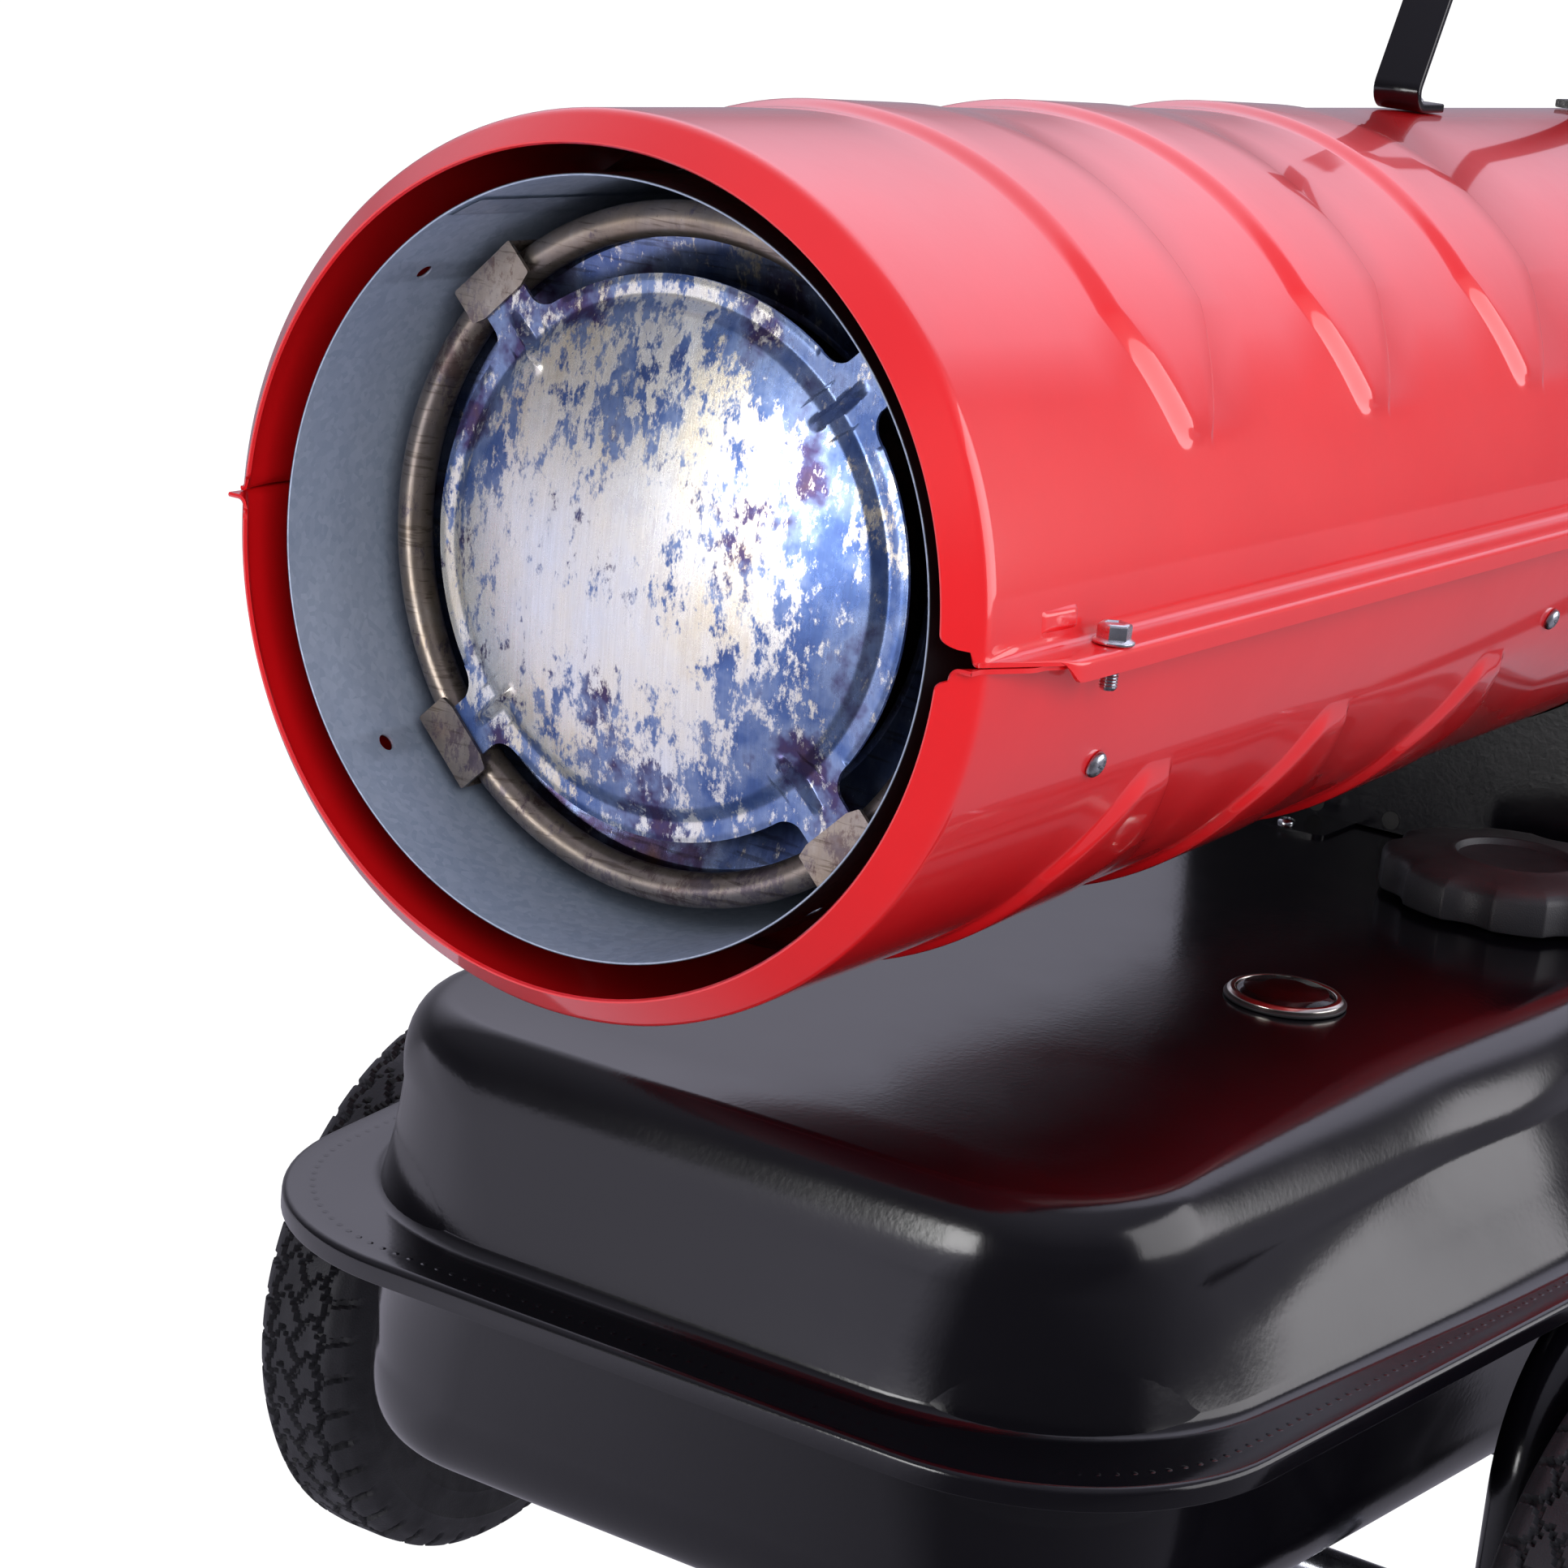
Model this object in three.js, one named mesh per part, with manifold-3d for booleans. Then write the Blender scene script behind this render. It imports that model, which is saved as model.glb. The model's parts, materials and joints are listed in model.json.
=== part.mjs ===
// Direct-fired forced air heater: barrel, fuel tank, wheeled tube frame.
// Millimetres, +Z up. The barrel axis runs along X with the hot-air outlet at -X.
// Stations below are given in the barrel frame: x from the outlet rim, z from the barrel axis.
// The finished group is moved so that the origin is at the bottom centre of the object.
import * as THREE from 'three';
import { mergeVertices } from 'three/addons/utils/BufferGeometryUtils.js';
import Module from 'manifold-3d';

const wasm = await Module();
wasm.setup();

// ---------------------------------------------------------------- driving dimensions
const GAP = 0.3;                 // clearance between touching pieces

const BARREL_R = 145;            // outer radius of the two half shells
const SHELL_T = 1.5;             // shell sheet
const BARREL_L = 900;            // length of the shells
const LIP_R = 135;               // radius of the necked outlet lip
const LIP_L = 12.6;              // length of the necked lip
const FLANGE_Y = 160.5;          // outer edge of the seam flange
const FLANGE_T = 1.5;
const FLANGE_X0 = 9;             // the seam flange starts here and has its full width from FLANGE_X1
const FLANGE_X1 = 40;
const FLANGE_DROP = 5.5;         // height of the turned-down edge below the seam
const SEAM_BOLT_Y = 154;
const SEAM_BOLT_X = [72, 800];

const LINER_R = 125, LINER_T = 1, LINER_X0 = 10, LINER_X1 = 640;
const CHAMBER_R = 112, CHAMBER_T = 1.5, CHAMBER_X0 = 52, CHAMBER_X1 = 430;
const DISC_R = 92.5, DISC_X = 47;
const HOOP_X = [100, 486];       // hoops that carry the liner, under the shell screws
const SCREW_ANGLE = 108;         // degrees from the top

const AXIS_H = 543;              // barrel axis above the ground
const TANK_Z = -283;             // plane of the tank's welded rim
const TANK_TOP = -202, TANK_BOT = -378;
const TANK_X0 = 70, TANK_X1 = 835;
const TANK_HALF_FRONT = 198, TANK_HALF = 237, TANK_TAPER_X = 430;

const WHEEL_X = 358, WHEEL_Z = -416, TYRE_R = 127, RIM_R = 76;
const WHEEL_Y0 = 250, WHEEL_Y1 = 304;
const AXLE_R = 8;

const TUBE_R = 12.5, TUBE_T = 2, TUBE_Y = 226, RAIL_Z = -305.5;
const BOX_X0 = 670, BOX_X1 = 884, BOX_Y = 100;
const CAP_X = 604, CAP_Y = -94, CAP_R = 60;
const GAUGE_X = 390, GAUGE_Y = -86;
const MOTOR_X0 = 752, MOTOR_X1 = 838;

// ---------------------------------------------------------------- helpers
const heater = new THREE.Group();
const V = (x, y, z) => new THREE.Vector3(x, y, z);
const D = Math.PI / 180;

function paint(hex, roughness, metalness) {
  return new THREE.MeshStandardMaterial({ color: hex, roughness, metalness });
}
const RED = () => paint(0xd8262a, 0.22, 0.1);
const BLACK = () => paint(0x131317, 0.25, 0.2);
const SATIN = () => paint(0x1a1a1d, 0.5, 0.2);
const ZINC = () => paint(0xc9cdd2, 0.28, 1.0);
const GALV = () => paint(0x8d97a5, 0.45, 0.9);
const HEAT = () => paint(0x9a8f80, 0.35, 1.0);
const BRASS = () => paint(0xb08a3e, 0.3, 1.0);
const RUBBER = () => paint(0x17171a, 0.85, 0.0);
const PLASTIC = () => paint(0x1b1b1f, 0.55, 0.0);
const CAST = () => paint(0x6d7076, 0.5, 0.8);

function solid(geometry) {
  let g = geometry.clone();
  g.deleteAttribute('normal');
  g.deleteAttribute('uv');
  g = mergeVertices(g, 1e-4);
  const p = g.attributes.position;
  const idx = Array.from(g.index.array);
  const tri = [];
  let vol = 0;
  const a = V(0, 0, 0), b = V(0, 0, 0), c = V(0, 0, 0);
  for (let i = 0; i < idx.length; i += 3) {
    const [i0, i1, i2] = [idx[i], idx[i + 1], idx[i + 2]];
    if (i0 === i1 || i1 === i2 || i0 === i2) continue;
    a.fromBufferAttribute(p, i0); b.fromBufferAttribute(p, i1); c.fromBufferAttribute(p, i2);
    vol += a.dot(b.clone().cross(c)) / 6;
    tri.push(i0, i1, i2);
  }
  if (vol < 0) for (let i = 0; i < tri.length; i += 3) [tri[i + 1], tri[i + 2]] = [tri[i + 2], tri[i + 1]];
  return new wasm.Manifold(new wasm.Mesh({
    numProp: 3, vertProperties: new Float32Array(p.array), triVerts: new Uint32Array(tri),
  }));
}
function geometryOf(man) {
  const m = man.getMesh();
  const g = new THREE.BufferGeometry();
  const src = m.vertProperties, n = m.numProp, out = new Float32Array(src.length / n * 3);
  for (let i = 0; i < src.length / n; i++) for (let k = 0; k < 3; k++) out[3 * i + k] = src[n * i + k];
  g.setAttribute('position', new THREE.BufferAttribute(out, 3));
  g.setIndex(Array.from(m.triVerts));
  g.computeVertexNormals();
  return g;
}
function add(name, man, material, parent = heater) {
  const mesh = new THREE.Mesh(geometryOf(man), material);
  mesh.name = name;
  parent.add(mesh);
  return mesh;
}
const box = (x0, x1, y0, y1, z0, z1) =>
  solid(new THREE.BoxGeometry(x1 - x0, y1 - y0, z1 - z0).translate((x0 + x1) / 2, (y0 + y1) / 2, (z0 + z1) / 2));
// solid of revolution about the barrel axis; profile is [radius, x] pairs
function turnX(profile, segs = 48, close = true) {
  const pts = profile.map(([r, a]) => new THREE.Vector2(r, a));
  if (close) pts.push(pts[0].clone());
  return solid(new THREE.LatheGeometry(pts, segs).rotateZ(-Math.PI / 2));
}
// about a vertical axis; profile is [radius, z]
function turnZ(profile, x, y, z, segs = 32, close = true) {
  const pts = profile.map(([r, a]) => new THREE.Vector2(r, a));
  if (close) pts.push(pts[0].clone());
  return solid(new THREE.LatheGeometry(pts, segs).rotateX(Math.PI / 2).translate(x, y, z));
}
// about an axis along Y; profile is [radius, y]
function turnY(profile, x, z, segs = 48, close = true) {
  const pts = profile.map(([r, a]) => new THREE.Vector2(r, a));
  if (close) pts.push(pts[0].clone());
  return solid(new THREE.LatheGeometry(pts, segs).translate(x, 0, z));
}
const rodX = (r, x0, x1, y, z, segs = 24) =>
  solid(new THREE.CylinderGeometry(r, r, x1 - x0, segs).rotateZ(-Math.PI / 2).translate((x0 + x1) / 2, y, z));
const rodY = (r, y0, y1, x, z, segs = 24) =>
  solid(new THREE.CylinderGeometry(r, r, y1 - y0, segs).translate(x, (y0 + y1) / 2, z));
const rodZ = (r, z0, z1, x, y, segs = 24) =>
  solid(new THREE.CylinderGeometry(r, r, z1 - z0, segs).rotateX(Math.PI / 2).translate(x, y, (z0 + z1) / 2));
// a cylinder that points outward from the barrel axis, angle in degrees from the top towards -Y
function rodR(r, r0, r1, x, angle, segs = 16) {
  const g = new THREE.CylinderGeometry(r, r, r1 - r0, segs).rotateX(Math.PI / 2).translate(0, 0, (r0 + r1) / 2);
  return solid(g.rotateX(angle * D).translate(x, 0, 0));
}
const turned = (man, axis, deg, about) => {
  const m = new THREE.Matrix4().makeTranslation(about.x, about.y, about.z)
    .multiply(new THREE.Matrix4().makeRotationAxis(axis, deg * D))
    .multiply(new THREE.Matrix4().makeTranslation(-about.x, -about.y, -about.z));
  return solid(geometryOf(man).applyMatrix4(m));
};

// a path of straight runs joined by round bends, sampled only where it bends
class BentPath extends THREE.Curve {
  constructor(points, radii, arcSteps = 5) {
    super();
    this.st = [];
    const push = (p, t) => {
      const last = this.st[this.st.length - 1];
      if (last && last.p.distanceTo(p) < 0.05) return;
      this.st.push({ p, t });
    };
    const n = points.length;
    push(points[0].clone(), points[1].clone().sub(points[0]).normalize());
    for (let i = 1; i < n - 1; i++) {
      const a = points[i].clone().sub(points[i - 1]).normalize();
      const b = points[i + 1].clone().sub(points[i]).normalize();
      const ang = Math.acos(THREE.MathUtils.clamp(a.dot(b), -1, 1));
      const r = radii[i - 1];
      const cut = r * Math.tan(ang / 2);
      const s = points[i].clone().addScaledVector(a, -cut);
      const axis = a.clone().cross(b).normalize();
      const toC = axis.clone().cross(a).normalize();
      const c = s.clone().addScaledVector(toC, r);
      for (let k = 0; k <= arcSteps; k++) {
        const q = new THREE.Quaternion().setFromAxisAngle(axis, ang * k / arcSteps);
        push(c.clone().add(s.clone().sub(c).applyQuaternion(q)), a.clone().applyQuaternion(q));
      }
    }
    push(points[n - 1].clone(), points[n - 1].clone().sub(points[n - 2]).normalize());
  }
  get steps() { return this.st.length - 1; }
  at(u) {
    const k = u * this.steps, i = Math.min(Math.floor(k + 1e-9), this.steps - 1), f = k - i;
    return [this.st[i], this.st[i + 1], f];
  }
  getPoint(u) { const [a, b, f] = this.at(u); return a.p.clone().lerp(b.p, f); }
  getPointAt(u) { return this.getPoint(u); }
  getTangent(u) { const [a, b, f] = this.at(u); return a.t.clone().lerp(b.t, f).normalize(); }
  getTangentAt(u) { return this.getTangent(u); }
}
function pipe(points, radii, r, rIn = 0, sides = 10, arcSteps = 5) {
  const path = new BentPath(points, radii, arcSteps);
  const s = new THREE.Shape();
  s.absarc(0, 0, r, 0, 2 * Math.PI, false);
  if (rIn > 0) { const h = new THREE.Path(); h.absarc(0, 0, rIn, 0, 2 * Math.PI, true); s.holes.push(h); }
  return solid(new THREE.ExtrudeGeometry(s, { steps: path.steps, extrudePath: path, curveSegments: sides / 2, bevelEnabled: false }));
}

// ---------------------------------------------------------------- barrel shells
// closed ring profile: straight wall, then the lip that necks in to the outlet
const lip = [[LIP_R, 0], [BARREL_R - 2, 8.6], [BARREL_R - 0.6, 10.4], [BARREL_R, LIP_L]];
const lipIn = [[BARREL_R - SHELL_T, LIP_L + 0.4], [BARREL_R - SHELL_T - 0.6, 11], [BARREL_R - 2 - 1.1, 9.6], [LIP_R - 1.1, 1.0]];
const ring = turnX([...lip, [BARREL_R, BARREL_L], [BARREL_R - SHELL_T, BARREL_L], ...lipIn], 40);
const upperHalf = box(-5, BARREL_L + 5, -200, 200, GAP / 2, 200);
const lowerHalf = box(-5, BARREL_L + 5, -200, 200, -200, -GAP / 2);
const flangeIn = BARREL_R - 1.2;

let upper = ring.intersect(upperHalf);
let lower = ring.intersect(lowerHalf);
// flat strip beside the shell whose front end tapers into the lip
function flangeStrip(s, edge, z0, z1) {
  const shape = new THREE.Shape();
  [[FLANGE_X0, flangeIn - 0.6], [FLANGE_X0, flangeIn + 0.6], [FLANGE_X1, edge], [BARREL_L - 4, edge], [BARREL_L - 4, flangeIn - 0.6]]
    .forEach(([x, y], i) => (i ? shape.lineTo(x, s * y) : shape.moveTo(x, s * y)));
  return solid(new THREE.ExtrudeGeometry(shape, { depth: z1 - z0, bevelEnabled: false, steps: 1 }).translate(0, 0, z0));
}
for (const s of [-1, 1]) {
  const yy = (a, b) => (s > 0 ? [a, b] : [-b, -a]);
  // upper flange with its edge turned down over the lower one
  upper = upper.add(flangeStrip(s, FLANGE_Y, GAP / 2, FLANGE_T + GAP / 2));
  upper = upper.add(box(FLANGE_X1 + 2, BARREL_L - 4, ...yy(FLANGE_Y - FLANGE_T, FLANGE_Y), -FLANGE_DROP, FLANGE_T + GAP / 2));
  lower = lower.add(flangeStrip(s, FLANGE_Y - FLANGE_T - GAP, -FLANGE_T - GAP / 2, -GAP / 2));
  for (const x of SEAM_BOLT_X) {
    upper = upper.subtract(rodZ(3.4, -8, 8, x, s * SEAM_BOLT_Y, 12));
    lower = lower.subtract(rodZ(3.4, -8, 8, x, s * SEAM_BOLT_Y, 12));
  }
}
for (const x of HOOP_X) for (const a of [SCREW_ANGLE, -SCREW_ANGLE]) lower = lower.subtract(rodR(2.4, 135, 150, x, a, 8));
// openings in the lower shell, inside the box: pump lines and the lines that rise to the burner
const AIR_X = 866, RISE_X = 690;
lower = lower.subtract(rodZ(9, -160, -130, AIR_X - 4, 24, 16));
lower = lower.subtract(rodZ(9, -160, -130, RISE_X - 2, 16, 16));
lower = lower.subtract(rodZ(9, -160, -130, RISE_X - 2, -16, 16));
// handle screw holes are closed by the handle's own studs
add('upper_shell', upper, RED());
add('lower_shell', lower, RED());

// ---------------------------------------------------------------- liner, chamber, burner
let liner = turnX([[LINER_R, LINER_X0], [LINER_R, LINER_X1], [LINER_R - LINER_T, LINER_X1], [LINER_R - LINER_T, LINER_X0]], 40);
for (const a of [52, 128]) liner = liner.subtract(rodR(2.6, 118, 130, LINER_X0 + 24, -a, 12));
add('inner_liner', liner, GALV());

for (const [i, x] of HOOP_X.entries()) {
  let hoop = turnX([[LINER_R + GAP, x - 7], [LINER_R + GAP, x + 7], [LINER_R + GAP + 1.5, x + 7], [LINER_R + GAP + 1.5, x - 7]], 40);
  const rIn = BARREL_R - SHELL_T - GAP;
  for (const a of [SCREW_ANGLE, -SCREW_ANGLE]) {
    const leg = box(x - 7, x + 7, -1, 1, LINER_R + 1, rIn - 0.6);
    const pad = box(x - 7, x + 7, -9, 9, rIn - 2.4, rIn - 0.6);
    const tab = turned(leg.add(pad), V(1, 0, 0), a, V(0, 0, 0));
    hoop = hoop.add(tab).subtract(rodR(1.9, 130, 150, x, a, 8));
  }
  add(i ? 'liner_hoop_rear' : 'liner_hoop_front', hoop, GALV());
}

// combustion chamber: rolled front rim, straight drum, coned back with the burner opening
const cr = CHAMBER_R;
const BEAD = cr - 2.2, BEAD_R = 6, BX = CHAMBER_X0 + BEAD_R;   // rolled bead at the mouth
let chamber = turnX([
  [BEAD - BEAD_R, BX], [BEAD - 4.3, BX - 4.3], [BEAD, BX - BEAD_R], [BEAD + 4.3, BX - 4.3], [BEAD + BEAD_R, BX],
  [BEAD + 4.3, BX + 4.3], [cr, BX + BEAD_R], [cr, CHAMBER_X1], [60, CHAMBER_X1 + 34], [60, CHAMBER_X1 + 46], [58.5, CHAMBER_X1 + 46],
  [58.5, CHAMBER_X1 + 33], [cr - CHAMBER_T, CHAMBER_X1 - 0.8], [cr - CHAMBER_T, BX + BEAD_R - 0.4], [BEAD - 3.4, BX + 4.6]], 28);
for (const x of [130, 400]) for (const a of [0, 120, 240]) {
  chamber = chamber.add(turned(box(x - 8, x + 8, -1, 1, cr - 0.8, LINER_R - LINER_T - GAP - 0.7), V(1, 0, 0), a + 30, V(0, 0, 0)));
}
add('combustion_chamber', chamber, HEAT());

// outlet ring set just inside the mouth of the chamber
add('chamber_outlet_ring', turnX([
  [cr - CHAMBER_T - GAP, CHAMBER_X0 + 28], [cr - CHAMBER_T - GAP, CHAMBER_X0 + 13.6], [104, CHAMBER_X0 + 13.6], [89, CHAMBER_X0 + 17.5],
  [85.5, CHAMBER_X0 + 20], [84.2, CHAMBER_X0 + 27], [85.6, CHAMBER_X0 + 27], [86.7, CHAMBER_X0 + 21], [89.6, CHAMBER_X0 + 19],
  [104, CHAMBER_X0 + 15.2], [108.4, CHAMBER_X0 + 15.2], [108.4, CHAMBER_X0 + 28]], 28), HEAT());

// baffle disc: shallow dome, four arms, hooked ends over the chamber's rolled rim
const dome = [];
for (let k = 0; k <= 3; k++) { const r = 82 * k / 3; dome.push([r, DISC_X - 9 * (1 - (r / 82) ** 2)]); }
const discOut = [...dome, [86, DISC_X + 1.5], [DISC_R, DISC_X + 1.5]];
const discBack = [...discOut].reverse().map(([r, x]) => [r, x + 1.5]);
let disc = turnX([...discOut, ...discBack], 28, false);
for (const a of [45, 135, 225, 315]) {
  let arm = box(DISC_X + 1.5, DISC_X + 3.0, -9.5, 9.5, 87, cr + 5.6);
  arm = arm.add(box(DISC_X + 1.5, DISC_X + 3.0, -14.5, 14.5, 106, cr + 5.6));
  arm = arm.add(box(DISC_X + 1.5, CHAMBER_X0 + 12, -14.5, -9.5, cr + 4.4, cr + 5.6));
  arm = arm.add(box(DISC_X + 1.5, CHAMBER_X0 + 12, 9.5, 14.5, cr + 4.4, cr + 5.6));
  disc = disc.add(turned(arm, V(1, 0, 0), a, V(0, 0, 0)));
}
add('baffle_disc', disc, HEAT());

// burner head: swirl cup at the back of the chamber
let head = turnX([[58.0, CHAMBER_X1 + 40], [58.0, CHAMBER_X1 + 72], [40, CHAMBER_X1 + 72], [40, CHAMBER_X1 + 70], [56.4, CHAMBER_X1 + 70], [56.4, CHAMBER_X1 + 42],
  [24, CHAMBER_X1 + 42], [24, CHAMBER_X1 + 40]], 24);
for (let k = 0; k < 6; k++) {
  const slot = turned(box(-3, 3, -3.5, 3.5, 32, 50), V(1, 0, 0), 0, V(0, 0, 0));
  const s1 = solid(geometryOf(slot).translate(CHAMBER_X1 + 41, 0, 0).rotateX((k * 60 + 15) * D));
  head = head.subtract(s1);
}
for (const y of [-14, 14]) head = head.subtract(rodX(4.8, CHAMBER_X1 + 38, CHAMBER_X1 + 44, y, 20, 10));
add('burner_head', head, CAST());
const NOZ_X = CHAMBER_X1 + 46;
let nozzle = rodX(8, NOZ_X + 4, NOZ_X + 60, 0, 0, 18).add(rodX(11, NOZ_X + 22, NOZ_X + 40, 0, 0, 6)).add(rodX(4, NOZ_X - 2, NOZ_X + 6, 0, 0, 12));
nozzle = nozzle.subtract(rodX(1.2, NOZ_X - 4, NOZ_X + 12, 0, 0, 8)).subtract(rodX(3.3, NOZ_X + 46, NOZ_X + 62, -4, 0, 12));
// spray nozzle body with a four-leg plate that carries it in the head
nozzle = nozzle.add(box(NOZ_X + 12, NOZ_X + 15, -55.2, 55.2, -4, 4)).add(box(NOZ_X + 12, NOZ_X + 15, -4, 4, -55.2, 55.2));
nozzle = nozzle.subtract(rodX(1.2, NOZ_X - 4, NOZ_X + 12, 0, 0, 8));
add('fuel_nozzle', nozzle, BRASS());
let electrode = rodX(4, NOZ_X - 14, NOZ_X + 40, 0, 0, 12).add(rodX(1.2, NOZ_X - 22, NOZ_X - 10, 0, 0, 8));
electrode = solid(geometryOf(electrode).translate(0, 14, 20));
let electrode2 = solid(geometryOf(rodX(4, NOZ_X - 14, NOZ_X + 40, 0, 0, 12).add(rodX(1.2, NOZ_X - 22, NOZ_X - 10, 0, 0, 8))).translate(0, -14, 20));
const electrodes = electrode.add(electrode2).add(box(NOZ_X + 20, NOZ_X + 28, -22, 22, 12.5, 28));
add('igniter_electrodes', electrodes, paint(0xe6e0d2, 0.4, 0));

// ---------------------------------------------------------------- fan, motor, pump
const SHAFT_R = 6;
const FAN_X = 716;
let fan = turnX([[SHAFT_R + GAP, FAN_X - 15], [20, FAN_X - 18], [26, FAN_X - 12], [26, FAN_X + 14], [SHAFT_R + GAP, FAN_X + 14]], 18);
for (let k = 0; k < 6; k++) {
  const blade = box(-1, 1, -26, 26, 22, 114);
  const g = geometryOf(blade).rotateZ(38 * D).translate(FAN_X - 1, 0, 0).rotateX(k * 60 * D);
  fan = fan.add(solid(g));
}
fan = fan.intersect(turnX([[0, FAN_X - 40], [116, FAN_X - 40], [116, FAN_X + 40], [0, FAN_X + 40]], 24, false));
fan = fan.subtract(rodX(SHAFT_R + GAP, FAN_X - 60, FAN_X + 60, 0, 0, 18));
add('fan', fan, paint(0xb9bdc2, 0.4, 0.9));
add('motor_shaft', rodX(SHAFT_R, FAN_X - 22, 862, 0, 0, 18).add(rodX(3, FAN_X - 26, FAN_X - 20, 0, 0, 6)), ZINC());

let motor = turnX([[7, MOTOR_X0], [30, MOTOR_X0], [46, MOTOR_X0 + 8], [48, MOTOR_X0 + 12], [48, MOTOR_X1 - 12], [46, MOTOR_X1 - 8], [30, MOTOR_X1], [7, MOTOR_X1]], 24);
add('motor', motor, CAST());
let spider = turnX([[48 + GAP, 788], [48 + GAP, 806], [50.5, 806], [50.5, 788]], 24);
for (const a of [0, 120, 240]) {
  spider = spider.add(turned(box(790, 804, -1.5, 1.5, 49.5, BARREL_R - SHELL_T - GAP - 0.8), V(1, 0, 0), a + 180, V(0, 0, 0)));
  spider = spider.add(turned(box(786, 808, -12, 12, BARREL_R - SHELL_T - GAP - 2.8, BARREL_R - SHELL_T - GAP - 0.9), V(1, 0, 0), a + 180, V(0, 0, 0)));
}
add('motor_bracket', spider, ZINC());

const PUMP_X0 = MOTOR_X1 + GAP;
let pump = turnX([[26, PUMP_X0], [38, PUMP_X0], [38, PUMP_X0 + 20], [26, PUMP_X0 + 20]], 24);
pump = pump.add(box(PUMP_X0, PUMP_X0 + 20, -9, 9, -48, -30)).subtract(rodZ(3.2, -60, -34, PUMP_X0 + 10, 0, 12));
pump = pump.add(box(PUMP_X0, PUMP_X0 + 20, -9, 9, -36.5, -30));
add('pump_body', pump, CAST());
add('pump_rotor', turnX([[SHAFT_R + GAP, PUMP_X0 + 2], [22, PUMP_X0 + 2], [22, PUMP_X0 + 19], [SHAFT_R + GAP, PUMP_X0 + 19]], 24), paint(0x2b2b2e, 0.4, 0.2));
add('pump_cover', turnX([[0, PUMP_X0 + 34], [30, PUMP_X0 + 34], [38, PUMP_X0 + 30], [38, PUMP_X0 + 20 + GAP], [26, PUMP_X0 + 20 + GAP], [24, PUMP_X0 + 27], [0, PUMP_X0 + 27]], 24, false), CAST());

// rear guard: rings on spokes, with a skirt that sits inside the shells
const GR = BARREL_R - SHELL_T - GAP - 0.6;
let grille = turnX([[GR, BARREL_L - 14], [GR, BARREL_L + 2], [GR + 3, BARREL_L + 2], [GR + 3, BARREL_L + 6], [GR - 2, BARREL_L + 6], [GR - 2, BARREL_L - 14]], 32);
for (const r of [110, 76]) grille = grille.add(turnX([[r - 1.5, BARREL_L + 6], [r + 1.5, BARREL_L + 6], [r + 1.5, BARREL_L + 9], [r - 1.5, BARREL_L + 9]], 16));
grille = grille.add(turnX([[0, BARREL_L + 6], [40, BARREL_L + 6], [40, BARREL_L + 9], [0, BARREL_L + 9]], 16, false));
for (let k = 0; k < 4; k++) grille = grille.add(turned(box(BARREL_L + 3.5, BARREL_L + 6.5, -1.8, 1.8, 36, GR - 1), V(1, 0, 0), k * 90 + 45, V(0, 0, 0)));
add('rear_grille', grille, SATIN());

// ---------------------------------------------------------------- carry strap on top
const ST_W = 11, ST_T = 4, ST_X0 = 566, ST_X1 = 820, ST_Z = BARREL_R + 86;
{
  const s = new THREE.Shape();
  const z0 = BARREL_R + GAP;
  const lean = 45, foot = 34;
  // centre line of the bent strap in the XZ plane, thickened both ways
  const cl = [[ST_X0 + foot, z0 + ST_T / 2], [ST_X0 + 7, z0 + ST_T / 2], [ST_X0, z0 + ST_T / 2 + 6], [ST_X0 + lean - 4, ST_Z - 12], [ST_X0 + lean + 10, ST_Z],
    [ST_X1 - lean - 10, ST_Z], [ST_X1 - lean + 4, ST_Z - 12], [ST_X1, z0 + ST_T / 2 + 6], [ST_X1 - 7, z0 + ST_T / 2], [ST_X1 - foot, z0 + ST_T / 2]];
  const n = cl.length, L = [], Rr = [];
  for (let i = 0; i < n; i++) {
    const p = cl[i], a = cl[Math.max(0, i - 1)], b = cl[Math.min(n - 1, i + 1)];
    const d1 = [p[0] - a[0], p[1] - a[1]], d2 = [b[0] - p[0], b[1] - p[1]];
    const u1 = i ? Math.hypot(...d1) : 1, u2 = i < n - 1 ? Math.hypot(...d2) : 1;
    const n1 = i ? [-d1[1] / u1, d1[0] / u1] : null, n2 = i < n - 1 ? [-d2[1] / u2, d2[0] / u2] : null;
    const m = n1 && n2 ? [(n1[0] + n2[0]) / 2, (n1[1] + n2[1]) / 2] : (n1 || n2);
    const k = (ST_T / 2) / (m[0] ** 2 + m[1] ** 2);
    L.push([p[0] + m[0] * k, p[1] + m[1] * k]); Rr.push([p[0] - m[0] * k, p[1] - m[1] * k]);
  }
  const loop = [...L, ...Rr.reverse()];
  loop.forEach((p, i) => (i ? s.lineTo(p[0], p[1]) : s.moveTo(p[0], p[1])));
  const g = new THREE.ExtrudeGeometry(s, { depth: 2 * ST_W, bevelEnabled: false, steps: 1 }).rotateX(Math.PI / 2).translate(0, ST_W, 0);
  let strap = solid(g);
  // the feet are dished to the shell
  strap = strap.subtract(turnX([[0, 500], [BARREL_R + GAP, 500], [BARREL_R + GAP, 850], [0, 850]], 48, false));
  add('carry_strap', strap, BLACK());
}

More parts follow.
